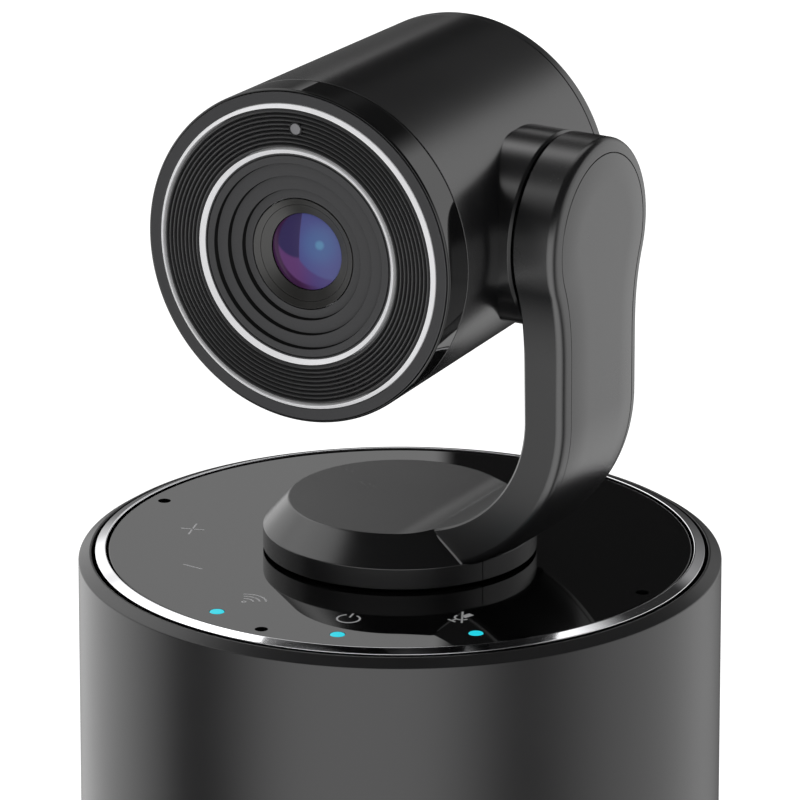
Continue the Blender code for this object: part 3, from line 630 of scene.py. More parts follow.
angles, local, owner = panel_columns()
wrap = np.append(np.arange(len(spots)), len(spots))
circle_at = np.interp(owner, wrap, np.append(spot_circle, spot_circle[0]))
size_at = np.interp(owner, wrap, np.append(spot_size, spot_size[0]))
u, v = np.meshgrid(local, across)                       # columns across a hole, rows outwards
square = np.maximum(np.abs(u), np.abs(v))
keep_round = np.clip((2 - square) / (2 - 1.02), 0, 1)
keep_round = np.where(np.abs(u) <= 2, keep_round, 0.0)
warp = 1 - keep_round + keep_round * square / np.maximum(np.hypot(u, v), 1e-9)
near = np.abs(u) <= 2
hole_turn = angles[None, :] + np.where(near, u * (warp - 1), 0.0) * (size_at / circle_at)[None, :]
hole_radius = circle_at[None, :] + v * warp * size_at[None, :]
depth = np.where(near & (square <= 1.0), HOLE_DEPTH, 0.0)

PANEL_BORE, PANEL_THICK = 16.0, 2.8
shelf = [(r, PANEL_TOP) for r in (PANEL_BORE, 25.0, 36.0, 44.0)]
panel_foot = PANEL_TOP - PANEL_THICK
panel_rim = rounded([(PANEL_R - 0.6, PANEL_TOP, 0), (PANEL_R, PANEL_TOP, 0.25), (PANEL_R, panel_foot, 0),
                     (PANEL_BORE, panel_foot, 0)], closed=False)


def around(profile):
    """Rows of the panel that are true circles: a point of the profile at every column's angle."""
    profile = np.asarray(profile, float)
    r, z = profile[:, :1], profile[:, 1:] + 0 * angles[None, :]
    return np.stack([r * np.cos(angles), r * np.sin(angles), z], axis=-1)


holes = np.stack([hole_radius * np.cos(hole_turn), hole_radius * np.sin(hole_turn), PANEL_TOP - depth],
                 axis=-1)
panel = np.concatenate([around(shelf), holes, around(panel_rim)])
panel_skin = skin(panel, close_rows=True, close_columns=True)
fit(piece_of("top_panel_fine", [panel_skin]), "base", "gloss", GLOSS_PANEL, "top_panel")

LIGHT_R = 1.35
for name, angle_deg in LIGHTS.items():
    a = math.radians(angle_deg)
    low, high = extent(f"light_pipe_{name}")
    pipe = rounded([(0, high[2], 0), (LIGHT_R, high[2] - 0.02, 0.15), (LIGHT_R, low[2], 0), (0, low[2], 0)],
                   closed=False)
    pipe_skin = turned(pipe, sides=48, centre=(LIGHT_CIRCLE * math.cos(a), LIGHT_CIRCLE * math.sin(a)))
    light = piece_of(f"light_pipe_{name}_fine", [pipe_skin])
    fit(light, "base", "cyan_light", CYAN, f"light_pipe_{name}")

# %% [markdown]
# ### Coated glass with painted reflections
# The front lens looks coloured because thin coatings on its faces each mirror another part of the room.
# A clear lens over painted elements needs long ray paths and noise, and it exports badly. So those
# reflections
# are painted: one opaque colour map with a clear coat on top, holding a painted card reflection, a painted
# highlight spot and painted shade. It reads the glass's own coordinates, turned so that the
# optical axis is in the middle, and lays soft-edged discs and half planes over each other.

# %% Coated glass
def coated_glass(name):
    """Deep violet glass with painted reflections: a blue card, an indigo painted shadow, a cyan highlight
    spot, a plum shaded edge and a magenta crescent.
    """
    finish = Finish(name, (0.05, 0.03, 0.2), 0.10, coat_weight=0.12, coat_roughness=0.02,
                    specular_ior_level=0.1)
    split = finish.node("ShaderNodeSeparateXYZ", None, {0: finish.place})
    across = Value(finish.tree, split.socket.node.outputs[0]) * (1 / MM)
    up = Value(finish.tree, split.socket.node.outputs[2]) * (1 / MM) - TILT_Z

    def disc(x, y, radius, soft):
        """1 inside a disc about (x, y), 0 outside."""
        far = ((across - x).math("POWER", 2.0) + (up - y).math("POWER", 2.0)).math("SQRT")
        return 1.0 - step(far, radius - soft, radius + soft)

    violet, indigo, blue = (0.080, 0.056, 0.24), (0.052, 0.040, 0.13), (0.095, 0.105, 0.32)
    teal, cyan = (0.085, 0.150, 0.37), (0.120, 0.30, 0.52)
    plum, magenta = (0.062, 0.020, 0.075), (0.155, 0.062, 0.21)
    # Painted reflections and shade: card paints a studio card's reflection, shade a shadow, the cyan disc a
    # highlight and the plum edge shade.
    left = 1.0 - step(across, -1.15, -0.85)
    card = disc(5.8, 4.2, 8.8, 0.35) * (1.0 - left)
    shade = disc(-2.0, 4.2, 5.3, 0.35) * left
    painted_edge_shade = (1.0 - disc(1.5, 1.0, 7.3, 0.30)) * (1.0 - step(across, -2.0, 4.0))
    color = finish.mix(step(across, -2.5, 3.5), magenta, violet)
    color = finish.mix(shade, color, indigo)
    color = finish.mix(card, color, blue)
    color = finish.mix(card * disc(3.0, 1.9, 3.2, 2.0), color, teal)
    color = finish.mix(disc(3.1, 1.9, 0.8, 0.35), color, cyan)
    color = finish.mix(painted_edge_shade, color, plum)
    finish.feed("Base Color", color)
    return finish.material


# The lens's colours are painted reflections, a painted highlight and painted shade.
PAINTED_REFLECTION_GLASS = coated_glass("coated_glass")
WELL = moulded("lens_well", (0.013, 0.0125, 0.011), 0.34, 0.3, 0.002, 0.45)
# Near-black liner for the step walls of the lens face: painted shade.
SHADE = moulded("step_shade", (0.004, 0.004, 0.004), 0.70, 0.3, 0.002, 0.1)
print("coated glass made")

# %% [markdown]
# ### Touch symbols
# The symbols are printed in thin light-grey lines. Each is a band a few hundredths of a millimetre thick,
# drawn along a path. An image on the panel would do the same in one step, but a print has a real edge and
# its own finish, and it needs no image file. The symbols are the plain generic ones.

# %% Symbols on the panel
def closed_ends(rows):
    """Grid of a bar with one more column at either end, drawn in to the middle of that end."""
    first, last = (rows[:, [i]].mean(axis=0, keepdims=True).repeat(len(rows), 0) for i in (0, -1))
    return np.concatenate([first, rows, last], axis=1)


LINE = 0.36                          # width of a printed line
PRINT_UP = 0.02                      # height of the print over the panel
SYMBOL_CIRCLE = 40.0


def stroke(path, centre_angle, width):
    """Skin of a band along a path of (across, outwards) points, put on the symbol circle at an angle.
    Each point of the band is the path's point plus or minus half the width along the path's normal."""
    tangent = np.gradient(path, axis=0)
    tangent /= np.linalg.norm(tangent, axis=1)[:, None]
    normal = np.stack([-tangent[:, 1], tangent[:, 0]], axis=-1) * width / 2
    left, right = path + normal, path - normal
    a = math.radians(centre_angle)
    out, side = np.array([math.cos(a), math.sin(a)]), np.array([-math.sin(a), math.cos(a)])

    def lay(flat, z):
        xy = (SYMBOL_CIRCLE + flat[:, 1:]) * out + flat[:, :1] * side
        return np.column_stack([xy, np.full(len(flat), z)])

    low, high = PANEL_TOP - 0.05, PANEL_TOP + PRINT_UP
    rows = np.stack([lay(left, high), lay(right, high), lay(right, low), lay(left, low)])
    return skin(closed_ends(rows), close_rows=True)


def arc(radius, start, end, centre=(0.0, 0.0), count=24):
    """Points of an arc, with angles in degrees from the across direction."""
    turn = np.radians(np.linspace(start, end, count))
    return np.column_stack([centre[0] + radius * np.cos(turn), centre[1] + radius * np.sin(turn)])


def bar(x0, y0, x1, y1):
    """Straight line between two points."""
    return np.linspace((x0, y0), (x1, y1), 2)


def spun(path, degrees):
    """Path turned about the symbol's own centre."""
    c, s = math.cos(math.radians(degrees)), math.sin(math.radians(degrees))
    return path @ np.array([[c, s], [-s, c]])


# Outwards is down on a symbol, because its top faces the turntable, unless the symbol is spun
symbols = {
    "mute": (-44.0, 65.0, [(bar(0, -2.3, 0, -0.2), 1.25), (bar(0, 1.35, 0, 2.6), LINE),
                           (bar(-0.95, 2.6, 0.95, 2.6), LINE), (arc(1.35, 0, 180), LINE),
                           (bar(-2.1, -2.0, 2.1, 2.0), LINE)]),
    "power": (-74.0, 5.0, [(arc(2.1, -62, 242, (0, 0.2), 40), LINE), (bar(0, -2.6, 0, -0.5), LINE)]),
    "wireless": (-104.0, 0.0, [(arc(0.35, 0, 360, (0, 1.6), 12), LINE),
                               *[(arc(size, -135, -45, (0, 1.6)), LINE) for size in (1.7, 2.9, 4.1)]]),
    "minus": (-134.0, -37.0, [(bar(-2.3, 0, 2.3, 0), LINE)]),
    "plus": (-164.0, 0.0, [(bar(-3.0, 0, 3.0, 0), LINE), (bar(0, -2.3, 0, 2.3), LINE)]),
}
for name, (centre_angle, spin, lines) in symbols.items():
    skins = [stroke(spun(path, spin), centre_angle, width) for path, width in lines]
    fit(piece_of(f"symbol_{name}", skins), "base", "grey_light", PRINT)

# %% [markdown]
# ## Turntable
# The turntable is a low disc: an upright wall, a cone and a flat top. The arm grows out of it. Its inner
# face starts level with the flat top and then bends upwards, so the top is lifted a little along the same
# arc before the arm begins, and no step shows between them. Below the arm the wall stands back, to make
# room for the lower end of the arm's cover.

# %% Turntable
BEND_X, BEND_Z = 9.4, RING_TOP + 34.1        # centre of the arm's lower bend
INNER = BEND_Z - DISC_TOP                    # bend radius of the arm's inner face
FOOT_X = 14.8                                # where the arm leaves the flat top
WALL_TOP = RING_TOP + 4.3
DISC_FOOT = extent("turntable_cap")[0][2]
FLAT_R = 20.85                               # radius of its flat top

disc = rounded([(0, DISC_TOP, 0), (FLAT_R, DISC_TOP, 0.5), (DISC_R, WALL_TOP, 0.32),
                (DISC_R, DISC_FOOT, 0.15), (22.6, DISC_FOOT, 0), (21.5, WALL_TOP, 0),
                (0, DISC_TOP - 2, 0)], closed=False)
top_rings = np.column_stack([np.linspace(0, 20, 24), np.full(24, DISC_TOP)])
disc = np.concatenate([top_rings, disc[1:]])
angle = np.linspace(0, 2 * math.pi, 240, endpoint=False)
bearing_off = np.abs((angle + math.pi) % (2 * math.pi) - math.pi)
seam_angle = math.radians(24.0)              # half the cover's width on the wall, in whole columns
radius, height = disc[:, :1] + 0 * angle, disc[:, 1:] + 0 * angle
on_wall = (disc[:, :1] > 22.7) & (disc[:, 1:] < WALL_TOP + 0.05)
radius = np.where(on_wall & (bearing_off < seam_angle - 0.001)[None, :], DISC_R - 1.2, radius)
x = radius * np.cos(angle)
reach = np.clip(x - BEND_X, 0, FOOT_X - BEND_X)
lift = INNER - np.sqrt(INNER ** 2 - reach ** 2) - 0.5 * np.clip((x - FOOT_X - 0.4) / 1.0, 0, 1)
height = height + np.where(height > DISC_TOP - 0.6, lift, 0.0) * (disc[:, 1:] > DISC_TOP - 1)
points = np.stack([x, radius * np.sin(angle), height], axis=-1)
cap = piece_of("turntable_fine", [skin(points, close_columns=True)])
fit(cap, "turntable", "satin_arm", SATIN_ARM, "turntable_cap")

# %% [markdown]
# ## Arm
# Seen from the front, the arm is an outline: a straight neck that swells into a round end. Seen from the
# side, it is a strap that bends from the turntable's top up to the head. So the arm is worked out flat
# first. Rows of points follow the outline, each row set in by its own distance and lifted to its own level,
# which gives the chamfer, the side wall and the rounded edge in one profile. The flat form is then bent:
# the length below the bend's start becomes an angle round the bend's centre.

# %% Outline of the arm
NECK, NECK_END, BLEND_END = 14.3, 45.7 - 34.1, 60.0 - 34.1   # half width, and heights over the bend
END_S = TILT_Z - BEND_Z                                      # height of the round end's centre
FOOT_ANGLE = -(math.pi / 2 - math.asin((FOOT_X - 0.2 - BEND_X) / INNER))


def smooth_blend(t, start, end, start_slope, end_slope):
    """Cubic from start to end as t goes from 0 to 1, with the slopes given at both ends."""
    return (start * (2 * t ** 3 - 3 * t ** 2 + 1) + end * (3 * t ** 2 - 2 * t ** 3)
            + start_slope * (t ** 3 - 2 * t ** 2 + t) + end_slope * (t ** 3 - t ** 2))


def arm_outline(foot_angle):
    """Half of the outline as (length along the strap, half width), from the foot to the top."""
    bent = np.linspace(foot_angle * INNER, 0, 48)
    straight = np.linspace(0, NECK_END, 10)[1:]
    t = np.linspace(0, 1, 22)[1:]
    drop = END_S - BLEND_END
    wide = math.sqrt(HUB_R ** 2 - drop ** 2)
    blend_s = NECK_END + t * (BLEND_END - NECK_END)
    blend_w = smooth_blend(t, NECK, wide, 0.0, (BLEND_END - NECK_END) * drop / wide)
    first = -math.asin(drop / HUB_R)
    turn = np.linspace(first, math.pi / 2, 64)[1:]
    s = np.concatenate([bent, straight, blend_s, END_S + HUB_R * np.sin(turn)])
    w = np.concatenate([np.full(len(bent) + len(straight), NECK), blend_w, HUB_R * np.cos(turn)])
    return s, w


def whole_outline(foot_angle):
    """Outline up one side and down the other, its outward normals, and the middle line under each point."""
    s, w = arm_outline(foot_angle)
    s, w = np.concatenate([s, s[-2::-1]]), np.concatenate([w, -w[-2::-1]])
    along_s, along_w = np.gradient(s), np.gradient(w)
    size = np.hypot(along_s, along_w)
    normal_s, normal_w = -along_w / size, along_s / size
    return s, w, normal_s, normal_w, np.minimum(s, END_S)


def bent(s, w, level):
    """Bend flat points: level is the distance from the bend's centre, and s < 0 runs round the bend."""
    turn = np.minimum(s, 0) / INNER
    x = BEND_X + level * np.cos(turn)
    z = BEND_Z + level * np.sin(turn) + np.maximum(s, 0)
    return np.stack([x, w + 0 * x, np.maximum(z, WALL_TOP)], axis=-1)


FACE_BAND = 0.6                      # levels this near to the inner face belong to it


def strap(profile, foot_angle, taper=0.0):
    """Skin of the strap. Each (inset, level) of the profile is one row round the outline, and the first
    and the last row close on the middle line. The taper draws the inner face in towards the top."""
    s, w, normal_s, normal_w, middle_s = whole_outline(foot_angle)
    rise = np.clip(s / END_S, 0, 1)
    rows = []
    for inset, level in profile:
        lean = -taper * rise if level < INNER + FACE_BAND else 0.0
        rows.append(bent(s - inset * normal_s, w - inset * normal_w, level + lean))
    first = bent(middle_s, 0 * w, profile[0][1] - taper * rise)
    last = bent(middle_s, 0 * w, profile[-1][1] + 0 * s)
    return skin(np.stack([first, *rows, last]), close_columns=True)


# %% Arm frame
EDGE = INNER + 6.6                   # level where the side wall ends
EDGE_R, SLOPE = 1.67, math.radians(9.0)      # its rounded edge, which ends on this slope
COVER_IN = 2.6                       # inset of the seam round the cover
CHAMFER = 0.38                       # chamfer round the inner face
turn = np.linspace(0, math.pi / 2 - SLOPE, 9)
edge = np.column_stack([EDGE_R * (1 - np.cos(turn)), EDGE + EDGE_R * np.sin(turn)])
run = COVER_IN - edge[-1][0]
seam_level = edge[-1][1] + run * math.tan(SLOPE)
frame_profile = [(3.0, INNER), (CHAMFER + BESIDE, INNER), (CHAMFER, INNER), (0.0, INNER + CHAMFER),
                 (0.0, INNER + CHAMFER + BESIDE), (0.0, EDGE - BESIDE), *edge.tolist(),
                 (COVER_IN - 0.03, seam_level - 0.004), (COVER_IN, seam_level - 0.03),
                 (COVER_IN, seam_level - 1.1)]
arm = piece_of("arm_frame_fine", [strap(frame_profile, FOOT_ANGLE, 0.5)], sharp=28)
fit(arm, "turntable", "satin_arm", SATIN_ARM, "arm_frame")

# %% [markdown]
# The cover closes the back of the arm. Only a hairline seam parts it from the frame, and its face is crowned
# a little, which makes its reflection drift across it. Its lower end is a piece of the turntable's wall.

# %% Arm cover
SEAM = 0.18                          # width of the hairline seams
cover_in = COVER_IN + SEAM
face_level = COVER_X - BEND_X
crown_r = (face_level - seam_level) / (1 - math.cos(SLOPE))
tilt = np.linspace(SLOPE, 0, 8)
crown = np.column_stack([cover_in + crown_r * (math.sin(SLOPE) - np.sin(tilt)),
                         face_level - crown_r * (1 - np.cos(tilt))])
cover_profile = [(cover_in, seam_level - 1.0), (cover_in, seam_level - 0.05),
                 (cover_in + 0.04, crown[0][1]), *crown[1:].tolist()]
cover_foot = -(math.pi / 2 - math.asin((21.0 - BEND_X) / (INNER + 8.9)))
cover_skin = strap(cover_profile, cover_foot)
wall_half = seam_angle - SEAM / DISC_R
wall_turn = np.linspace(-wall_half, wall_half, 40)[None, :]
WALL_IN = 23.4                       # inner radius of the cover's lower end
wall_profile = rounded([(DISC_R, WALL_TOP, 0.1), (DISC_R, DISC_FOOT, 0.15), (WALL_IN, DISC_FOOT, 0),
                        (WALL_IN, WALL_TOP, 0)])
lower_end = closed_ends(place(wall_profile[:, :1], wall_turn, wall_profile[:, 1:], UPRIGHT))
cover = piece_of("arm_cover_fine", [cover_skin, skin(lower_end, close_rows=True)], sharp=28)
fit(cover, "turntable", "satin_arm", SATIN_ARM, "arm_cover")

# %% [markdown]
# Where the arm's flat side cuts the cone there is a thin bright line: a small bead in the inside corner,
# whose light grey colour paints its highlight.
# The cone's radius falls as it rises, so on the plane of the arm's side its place can be worked out at
# every height.

# %% Bead between the arm and the cone
BEAD_R = 0.20
slant = (DISC_R - FLAT_R) / (DISC_TOP - WALL_TOP)
rise = np.linspace(0, 1, 24)
bead_z = WALL_TOP + 0.1 + rise * (DISC_TOP + 0.15 - WALL_TOP)
bead_r = DISC_R - (bead_z - WALL_TOP) * slant + 0.05
bead_x = np.sqrt(bead_r ** 2 - NECK ** 2)
bead_path = np.column_stack([bead_x, np.full(24, -NECK), bead_z])


def tube(path, radius):
    """Skin of a round bar along a path, with its ends closed. The ring at each point lies across the path."""
    along_path = np.gradient(path, axis=0)
    along_path /= np.linalg.norm(along_path, axis=1)[:, None]
    side_way = np.cross(along_path, (0.0, 1.0, 0.0))
    side_way /= np.linalg.norm(side_way, axis=1)[:, None]
    other = np.cross(along_path, side_way)
    turn = np.linspace(0, 2 * math.pi, 12, endpoint=False)[:, None, None]
    rings = path + radius * (np.cos(turn) * side_way + np.sin(turn) * other)
    return skin(closed_ends(rings), close_rows=True)


mirror = np.array([1.0, -1.0, 1.0])
bead = piece_of("arm_bead", [tube(bead_path, BEAD_R), tube(bead_path * mirror, BEAD_R)])
fit(bead, "turntable", "satin_arm", PAINTED_BEAD_HIGHLIGHT)

# %% [markdown]
# ## Head
# The head is a tapered barrel that is widest at the front: a plain satin barrel, a rear cap with a soft
# edge, and a band of piano black behind the rim. A fine line runs round the hub's edge, where it
# meets the arm, in a lighter grey that paints its highlight.

# %% Barrel, rear cap and hub
barrel_low, barrel_high = extent("head_barrel")
BARREL_FRONT, BARREL_BACK = -barrel_low[1], -barrel_high[1]
R_FRONT, R_BACK = extent("front_bezel")[1][0], 29.4


def head_lathe(name, profile, *fitting):
    """Large turned piece on the head's own axis."""
    lathe(name, profile, FORWARD, ROUND, "head", *fitting)


def head_r(forward):
    """Outer radius of the head at a distance ahead of the tilt axis."""
    return R_BACK + (forward - HEAD_BACK) / (HEAD_FRONT - HEAD_BACK) * (R_FRONT - R_BACK)


front_r, back_r = head_r(BARREL_FRONT), head_r(BARREL_BACK)
barrel = rounded([(front_r, BARREL_FRONT, 0.12), (back_r, BARREL_BACK, 0.12),
                  (back_r - WALL, BARREL_BACK, 0), (front_r - WALL, BARREL_FRONT, 0)])
head_lathe("head_barrel_fine", barrel, "satin_head", SATIN_HEAD, "head_barrel")

cap_front = BARREL_BACK - 0.16       # behind a hairline seam
cap = rounded([(0, cap_front, 0), (head_r(cap_front), cap_front, 0.12), (head_r(HEAD_BACK), HEAD_BACK, 1.0),
               (0, HEAD_BACK, 0)], closed=False)
head_lathe("rear_cap_fine", cap, "satin_head", SATIN_HEAD, "rear_cap")

HUB_END, HUB_START, HUB_EDGE = extent("tilt_hub")[1][0], 25.0, 0.45
hub = rounded([(0, HUB_END, 0), (HUB_R - HUB_EDGE, HUB_END, 0.05), (HUB_R, HUB_END - HUB_EDGE, 0.05),
               (HUB_R, HUB_START, 0), (0, HUB_START, 0)], closed=False)
lathe("tilt_hub_fine", hub, SIDEWAYS, 192, "head", "satin_head", SATIN_HEAD, "tilt_hub")

# The edge ring's lighter grey paints the highlight on the hub's edge.
hub_edge = rounded([(HUB_R - 0.62, HUB_END + 0.012, 0.02), (HUB_R + 0.012, HUB_END - 0.5, 0.02),
                    (HUB_R - 0.2, HUB_END - 0.55, 0), (HUB_R - 0.62, HUB_END - 0.15, 0)])
lathe("hub_edge", hub_edge, SIDEWAYS, 192, "head", "satin_head", PAINTED_EDGE_HIGHLIGHT)

# %% Front band and rim
RIM_BACK = -extent("front_bezel")[1][1]           # back edge of the band
RIM_FACE = HEAD_FRONT - 0.75                      # the rim lies behind the ribbed ring
TRIM_OUT, TRIM_IN = extent("outer_trim_ring")[1][0], 27.95
BAND_IN, RIM_R, FACE_FOOT = 27.0, 30.9, 34.4      # the face pieces end at this distance inside the head
band = rounded([(RIM_R, RIM_FACE, 0.15), (R_FRONT - 0.02, RIM_FACE - 0.45, 0.15),
                (head_r(RIM_BACK), RIM_BACK, 0.1), (BAND_IN, RIM_BACK, 0), (BAND_IN, FACE_FOOT - 0.4, 0),
                (RIM_R, FACE_FOOT - 0.4, 0)])
head_lathe("front_band_fine", band, "gloss", GLOSS_BAND, "front_bezel")
rim = rounded([(TRIM_OUT + 0.12, RIM_FACE + 0.02, 0.1), (RIM_R - 0.08, RIM_FACE + 0.02, 0.1),
               (RIM_R - 0.08, FACE_FOOT + 0.1, 0), (TRIM_OUT + 0.12, FACE_FOOT + 0.1, 0)])
head_lathe("front_rim_fine", rim, "gloss", RIM)

# %% [markdown]
# The face is stepped. The ribbed ring stands a little proud, and a bright ring runs down its edge on either
# side as a 45 degree bevel, one facing out and one facing in. That is why each of them looks wide on one
# side and thin on the other. The ribs are fine grooves, and their profile is a row of raised cosines. The
# small grey dot between them sits in a thin collar.

# %% Bright bevels and ribs
bevel = 0.68
outer_ring = rounded([(TRIM_IN, HEAD_FRONT, 0.05), (TRIM_IN + bevel, HEAD_FRONT - bevel, 0.05),
                      (TRIM_IN + bevel, FACE_FOOT, 0), (TRIM_IN, FACE_FOOT, 0)])
# Both silver rings glow faintly: painted light.
head_lathe("outer_trim_fine", outer_ring, "bright_trim", SILVER_PAINTED_GLOW, "outer_trim_ring")
INNER_OUT, INNER_IN = extent("inner_trim_ring")[1][0], 19.35
inner_ring = rounded([(INNER_OUT, HEAD_FRONT, 0.05), (INNER_OUT, FACE_FOOT, 0), (INNER_IN, FACE_FOOT, 0),
                      (INNER_IN, HEAD_FRONT - 0.85, 0.05)])
head_lathe("inner_trim_fine", inner_ring, "bright_trim", SILVER_PAINTED_GLOW, "inner_trim_ring")

RIBS_OUT, RIBS_IN, RIB_COUNT, RIB_DEEP = TRIM_IN - 0.25, INNER_OUT + 0.3, 9, 0.8
r = np.linspace(RIBS_IN, RIBS_OUT, RIB_COUNT * 16 + 1)
wave = (1 - np.cos((r - RIBS_IN) / (RIBS_OUT - RIBS_IN) * RIB_COUNT * 2 * math.pi)) / 2
comb = np.column_stack([r, HEAD_FRONT - 0.15 - RIB_DEEP * (1 - wave ** 0.6)])
comb = np.concatenate([comb, [(RIBS_OUT, FACE_FOOT), (RIBS_IN, FACE_FOOT)]])
head_lathe("ribbed_ring_fine", comb, "moulded", RIBS, "ribbed_ring")

dot_low, dot_high = extent("status_light")
dot_z = (dot_low[2] + dot_high[2]) / 2 - TILT_Z
DOT_R, DOT_FOOT = 1.05, 35.2
dot = rounded([(0, HEAD_FRONT - 0.02, 0), (DOT_R, HEAD_FRONT - 0.08, 0.2), (DOT_R, DOT_FOOT, 0),
               (0, DOT_FOOT, 0)], closed=False)
COLLAR_OUT, COLLAR_IN, COLLAR_FOOT = 1.30, 1.12, 36.4
collar = rounded([(COLLAR_OUT, HEAD_FRONT - 0.1, 0.05), (COLLAR_OUT, COLLAR_FOOT, 0),
                  (COLLAR_IN, COLLAR_FOOT, 0), (COLLAR_IN, HEAD_FRONT - 0.1, 0.05)])
fit(piece_of("status_light_fine", [turned(dot, FORWARD, 48, (0.0, dot_z))]), "head", "grey_light", DOT,
    "status_light")
fit(piece_of("status_collar", [turned(collar, FORWARD, 48, (0.0, dot_z))]), "head", "moulded", MOULDED)

# %% [markdown]
# ### Lens
# Inside the bright ring the face falls to the lens in three shallow steps, whose walls show as dark
# crescents on the side that faces the camera. Each crescent is painted shade: a thin near-black liner that
# leans out most at one bearing, so that it tapers to nothing on the far side. A matt cone leads from the last
# step to the glass.

# %% Face plate and lens ring
STEP_DOWN = 0.62                     # height of each step
PLATE_TOP = HEAD_FRONT - 0.8
STEPS = (17.5, 15.0, 12.35)          # radii of the step walls
PLATE_OUT, PLATE_IN = 19.35, 10.55
corners = [(PLATE_OUT, PLATE_TOP, 0.05), (PLATE_OUT, FACE_FOOT, 0), (PLATE_IN, FACE_FOOT, 0),
           (PLATE_IN, PLATE_TOP - 3 * STEP_DOWN, 0.06)]
for i, step_r in reversed(list(enumerate(STEPS))):
    corners += [(step_r, PLATE_TOP - (i + 1) * STEP_DOWN, 0.04), (step_r, PLATE_TOP - i * STEP_DOWN, 0.06)]
GROOVE_IN, GROOVE_OUT, GROOVE_DEEP = 18.85, 19.1, 0.5     # dark line near the plate's edge
corners += [(GROOVE_IN, PLATE_TOP, 0.05), (GROOVE_IN, PLATE_TOP - GROOVE_DEEP, 0),
            (GROOVE_OUT, PLATE_TOP - GROOVE_DEEP, 0), (GROOVE_OUT, PLATE_TOP, 0.05)]
head_lathe("lens_funnel_fine", rounded(corners), "moulded", PLATE, "lens_funnel")
shades = []
around_face = np.linspace(0, 2 * math.pi, 256, endpoint=False)
SHADE_LEAN, lean_way = 0.42, math.radians(215)       # the walls lean most at the lower left
for i, step_r in enumerate(STEPS):
    top, foot_z = PLATE_TOP - i * STEP_DOWN - 0.06, PLATE_TOP - (i + 1) * STEP_DOWN + 0.012
    lean = SHADE_LEAN * (0.5 + 0.5 * np.cos(around_face - lean_way)) ** 2
    rows = [place(step_r + out - inward * lean, around_face, level, FORWARD)
            for out, inward, level in ((0.05, 0, top), (-0.02, 0, top), (-0.05, 1, foot_z),
                                       (-0.05, 1, foot_z - 0.05), (0.05, 0, foot_z - 0.05))]
    shades.append(skin(np.stack(rows), close_rows=True, close_columns=True))
fit(piece_of("step_shades", shades), "head", "moulded", SHADE)

CONE_OUT, CONE_MID, CONE_IN = 10.35, 9.1, 7.3
CONE_FALL = 0.48                     # fall of the lens cone for each millimetre inwards
cone_top = PLATE_TOP - 3 * STEP_DOWN + 0.05
WELL_IN, WELL_FOOT = 9.15, 33.0
well = rounded([(CONE_OUT, cone_top, 0.08), (CONE_OUT, WELL_FOOT, 0), (WELL_IN, WELL_FOOT, 0),
                (WELL_IN, cone_top - (CONE_OUT - WELL_IN) * CONE_FALL, 0.02)])
lathe("lens_ring_fine", well, FORWARD, 192, "head", "gloss", WELL, "lens_ring")

# %% Lens barrel and glass
GLASS_R = 7.2
CARRIER_R, CARRIER_FOOT, FLANGE_FOOT = 8.75, 13.5, 34.2
carrier = rounded([(CONE_MID, cone_top - (CONE_OUT - CONE_MID) * CONE_FALL, 0.02),
                   (CONE_MID, FLANGE_FOOT, 0), (CARRIER_R, FLANGE_FOOT, 0), (CARRIER_R, CARRIER_FOOT, 0),
                   (CONE_IN, CARRIER_FOOT, 0),
                   (CONE_IN, cone_top - (CONE_OUT - CONE_IN) * CONE_FALL, 0.05)])
lathe("lens_carrier_fine", carrier, FORWARD, 160, "focus_group", "moulded", WELL, "lens_carrier")
DOME_R, DOME_TOP, GLASS_BACK = 22.0, 35.3, 32.5      # the front glass's own radius, its top and its back
out = np.linspace(0, GLASS_R, 26)
dome = np.column_stack([out, DOME_TOP - DOME_R + np.sqrt(DOME_R ** 2 - out ** 2)])
dome = np.concatenate([dome, [(GLASS_R, GLASS_BACK), (0, GLASS_BACK)]])
lathe("front_lens_fine", dome, FORWARD, 160, "focus_group", "lens_glass", PAINTED_REFLECTION_GLASS, "front_lens")

# %% [markdown]
# ## The other nodes
# Every node that keeps its own mesh gets the finish of its slot, the hidden ones too, because another scene
# may open the object up.

# %% Finishes of the nodes that stay
BY_SLOT = {"rubber": RUBBER, "moulded": MOULDED, "steel": STEEL, "alloy": ALLOY, "brass": BRASS,
           "paper": PAPER, "board": BOARD, "satin_base": SATIN_BASE, "satin_head": SATIN_HEAD,
           "satin_arm": SATIN_ARM, "bright_trim": BRIGHT, "gloss": GLOSS_BAND, "acetal": ACETAL,
           "cable": CABLE, "cyan_light": CYAN, "grey_light": DOT, "lens_glass": PAINTED_REFLECTION_GLASS}
for subpart in frame["record"]["subparts"]:
    mesh = frame["nodes"][subpart["node"]].data
    mesh.materials.clear()
    mesh.materials.append(BY_SLOT[subpart["material_slot"]])

# %% [markdown]
# ## Floor and light
# The floor is a plain pale sheet that runs past the edges of the view, so that no corner shows. It gives the
# object neither a bright underside nor a mirror image in its walls, so it is kept out of bounced and
# mirrored rays.
#
# Black gloss shows its surroundings and little else. Round the object stand soft white cards in a dark
# room, painted on the world by direction, and matt surfaces see an even pale dome instead. Area lamps
# could stand for the cards too, but a world card has no distance, so it draws the same clean band on
# every piece.

# %% Floor
floor_mesh = bpy.data.meshes.new("floor")
FLOOR_HALF = 14.0
corner = np.array([(-1, -1, 0), (1, -1, 0), (1, 1, 0), (-1, 1, 0)]) * FLOOR_HALF
floor_mesh.from_pydata(corner.tolist(), [], [(0, 1, 2, 3)])
floor = bpy.data.objects.new("floor", floor_mesh)
bpy.context.scene.collection.objects.link(floor)
pale = Finish("pale_paper", (0.90, 0.90, 0.90), 0.9, specular_ior_level=0.0,
              emission_strength=0.55, emission_color=(1.0, 1.0, 1.0, 1.0))
floor_mesh.materials.append(pale.material)
floor.visible_glossy = False
floor.visible_diffuse = False

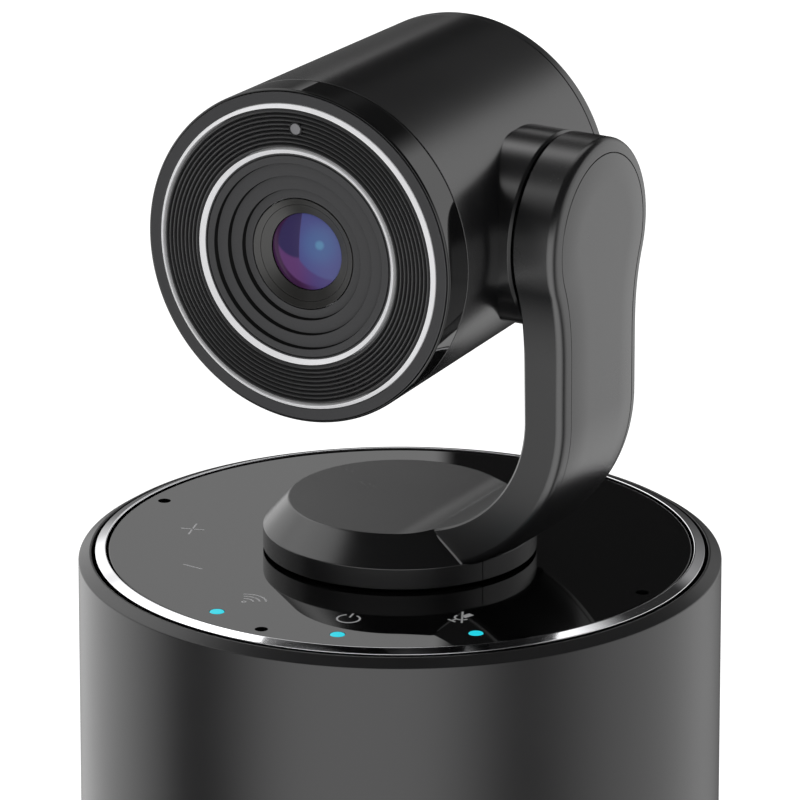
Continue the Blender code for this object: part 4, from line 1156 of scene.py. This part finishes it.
# %% World
world = bpy.data.worlds.new("studio")
bpy.context.scene.world = world
world.use_nodes = True
sky = world.node_tree
sky.nodes.clear()
direction = wire(sky, "ShaderNodeTexCoord")                  # Generated is the direction looked in


def along(axis):
    """How far the direction looked in points along an axis, from -1 to 1."""
    return wire(sky, "ShaderNodeVectorMath", {"operation": "DOT_PRODUCT"},
                {0: direction, 1: tuple(float(v) for v in axis)}, out=1)


ahead, right, up = along(towards), along(rightwards), along((0, 0, 1))
bearing = right.math("ARCTAN2", ahead) * (180 / math.pi)     # 0 towards the camera, 90 to its right
elevation = up.math("ARCSINE") * (180 / math.pi)


def card(turn, half, soft, low=-90.0, high=90.0, soft_up=6.0, strength=1.0):
    """Soft-edged card: within half degrees of a bearing, and between two heights."""
    off = ((bearing - turn + 540.0).math("MODULO", 360.0) - 180.0).math("ABSOLUTE")
    sides = 1.0 - step(off, half - soft, half + soft)
    foot = step(elevation, low - soft_up, low + soft_up) if low > -90 else 1.0
    head = 1.0 - step(elevation, high - soft_up, high + soft_up) if high < 90 else 1.0
    return sides * foot * head * strength


cards = [
    card(-135, 45.3, 0.08, low=14.5, high=27, soft_up=6, strength=1.06), # behind on the left, crisp edge
    card(-140, 31, 2, low=12, high=24, soft_up=3, strength=0.6),         # its brighter part
    card(-129, 39, 3, high=13, soft_up=7, strength=0.95),                # its lower half, short of the edge
    card(-135, 45.3, 0.08, high=13, soft_up=7, strength=0.12),           # the dim strip beside that
    card(-132, 30, 14, high=10, soft_up=8, strength=0.75),               # a soft glow low down
    card(-116, 46, 6, low=27, high=54, soft_up=4, strength=2.1),         # high on the left
    card(180, 32, 12, low=46, high=76, soft_up=5, strength=1.6),         # high behind
    card(-14, 41, 22, high=14, soft_up=12, strength=2.8),                # in front
    card(105, 45, 25, high=27, soft_up=3, strength=1.6),                 # on the right
]
studio = 0.035                       # the dark room between the cards
for each in cards:
    studio = each + studio
ray = sky.nodes.new("ShaderNodeLightPath")


def backdrop(strength):
    """World light of one strength."""
    return wire(sky, "ShaderNodeBackground", None, {"Strength": strength})


def switch(factor, first, second):
    """Second background where the factor is 1."""
    node = sky.nodes.new("ShaderNodeMixShader")
    sky.links.new(factor, node.inputs[0])
    sky.links.new(first.socket, node.inputs[1])
    sky.links.new(second.socket, node.inputs[2])
    return Value(sky, node.outputs[0])


DOME = 0.9                           # what matt surfaces see
seen = switch(ray.outputs["Is Glossy Ray"], backdrop(DOME), backdrop(studio))
seen = switch(ray.outputs["Is Camera Ray"], seen, backdrop(1.0))
output = sky.nodes.new("ShaderNodeOutputWorld")
sky.links.new(seen.socket, output.inputs["Surface"])
world.cycles.sampling_method = "NONE"
bpy.context.scene.view_settings.view_transform = "Standard"
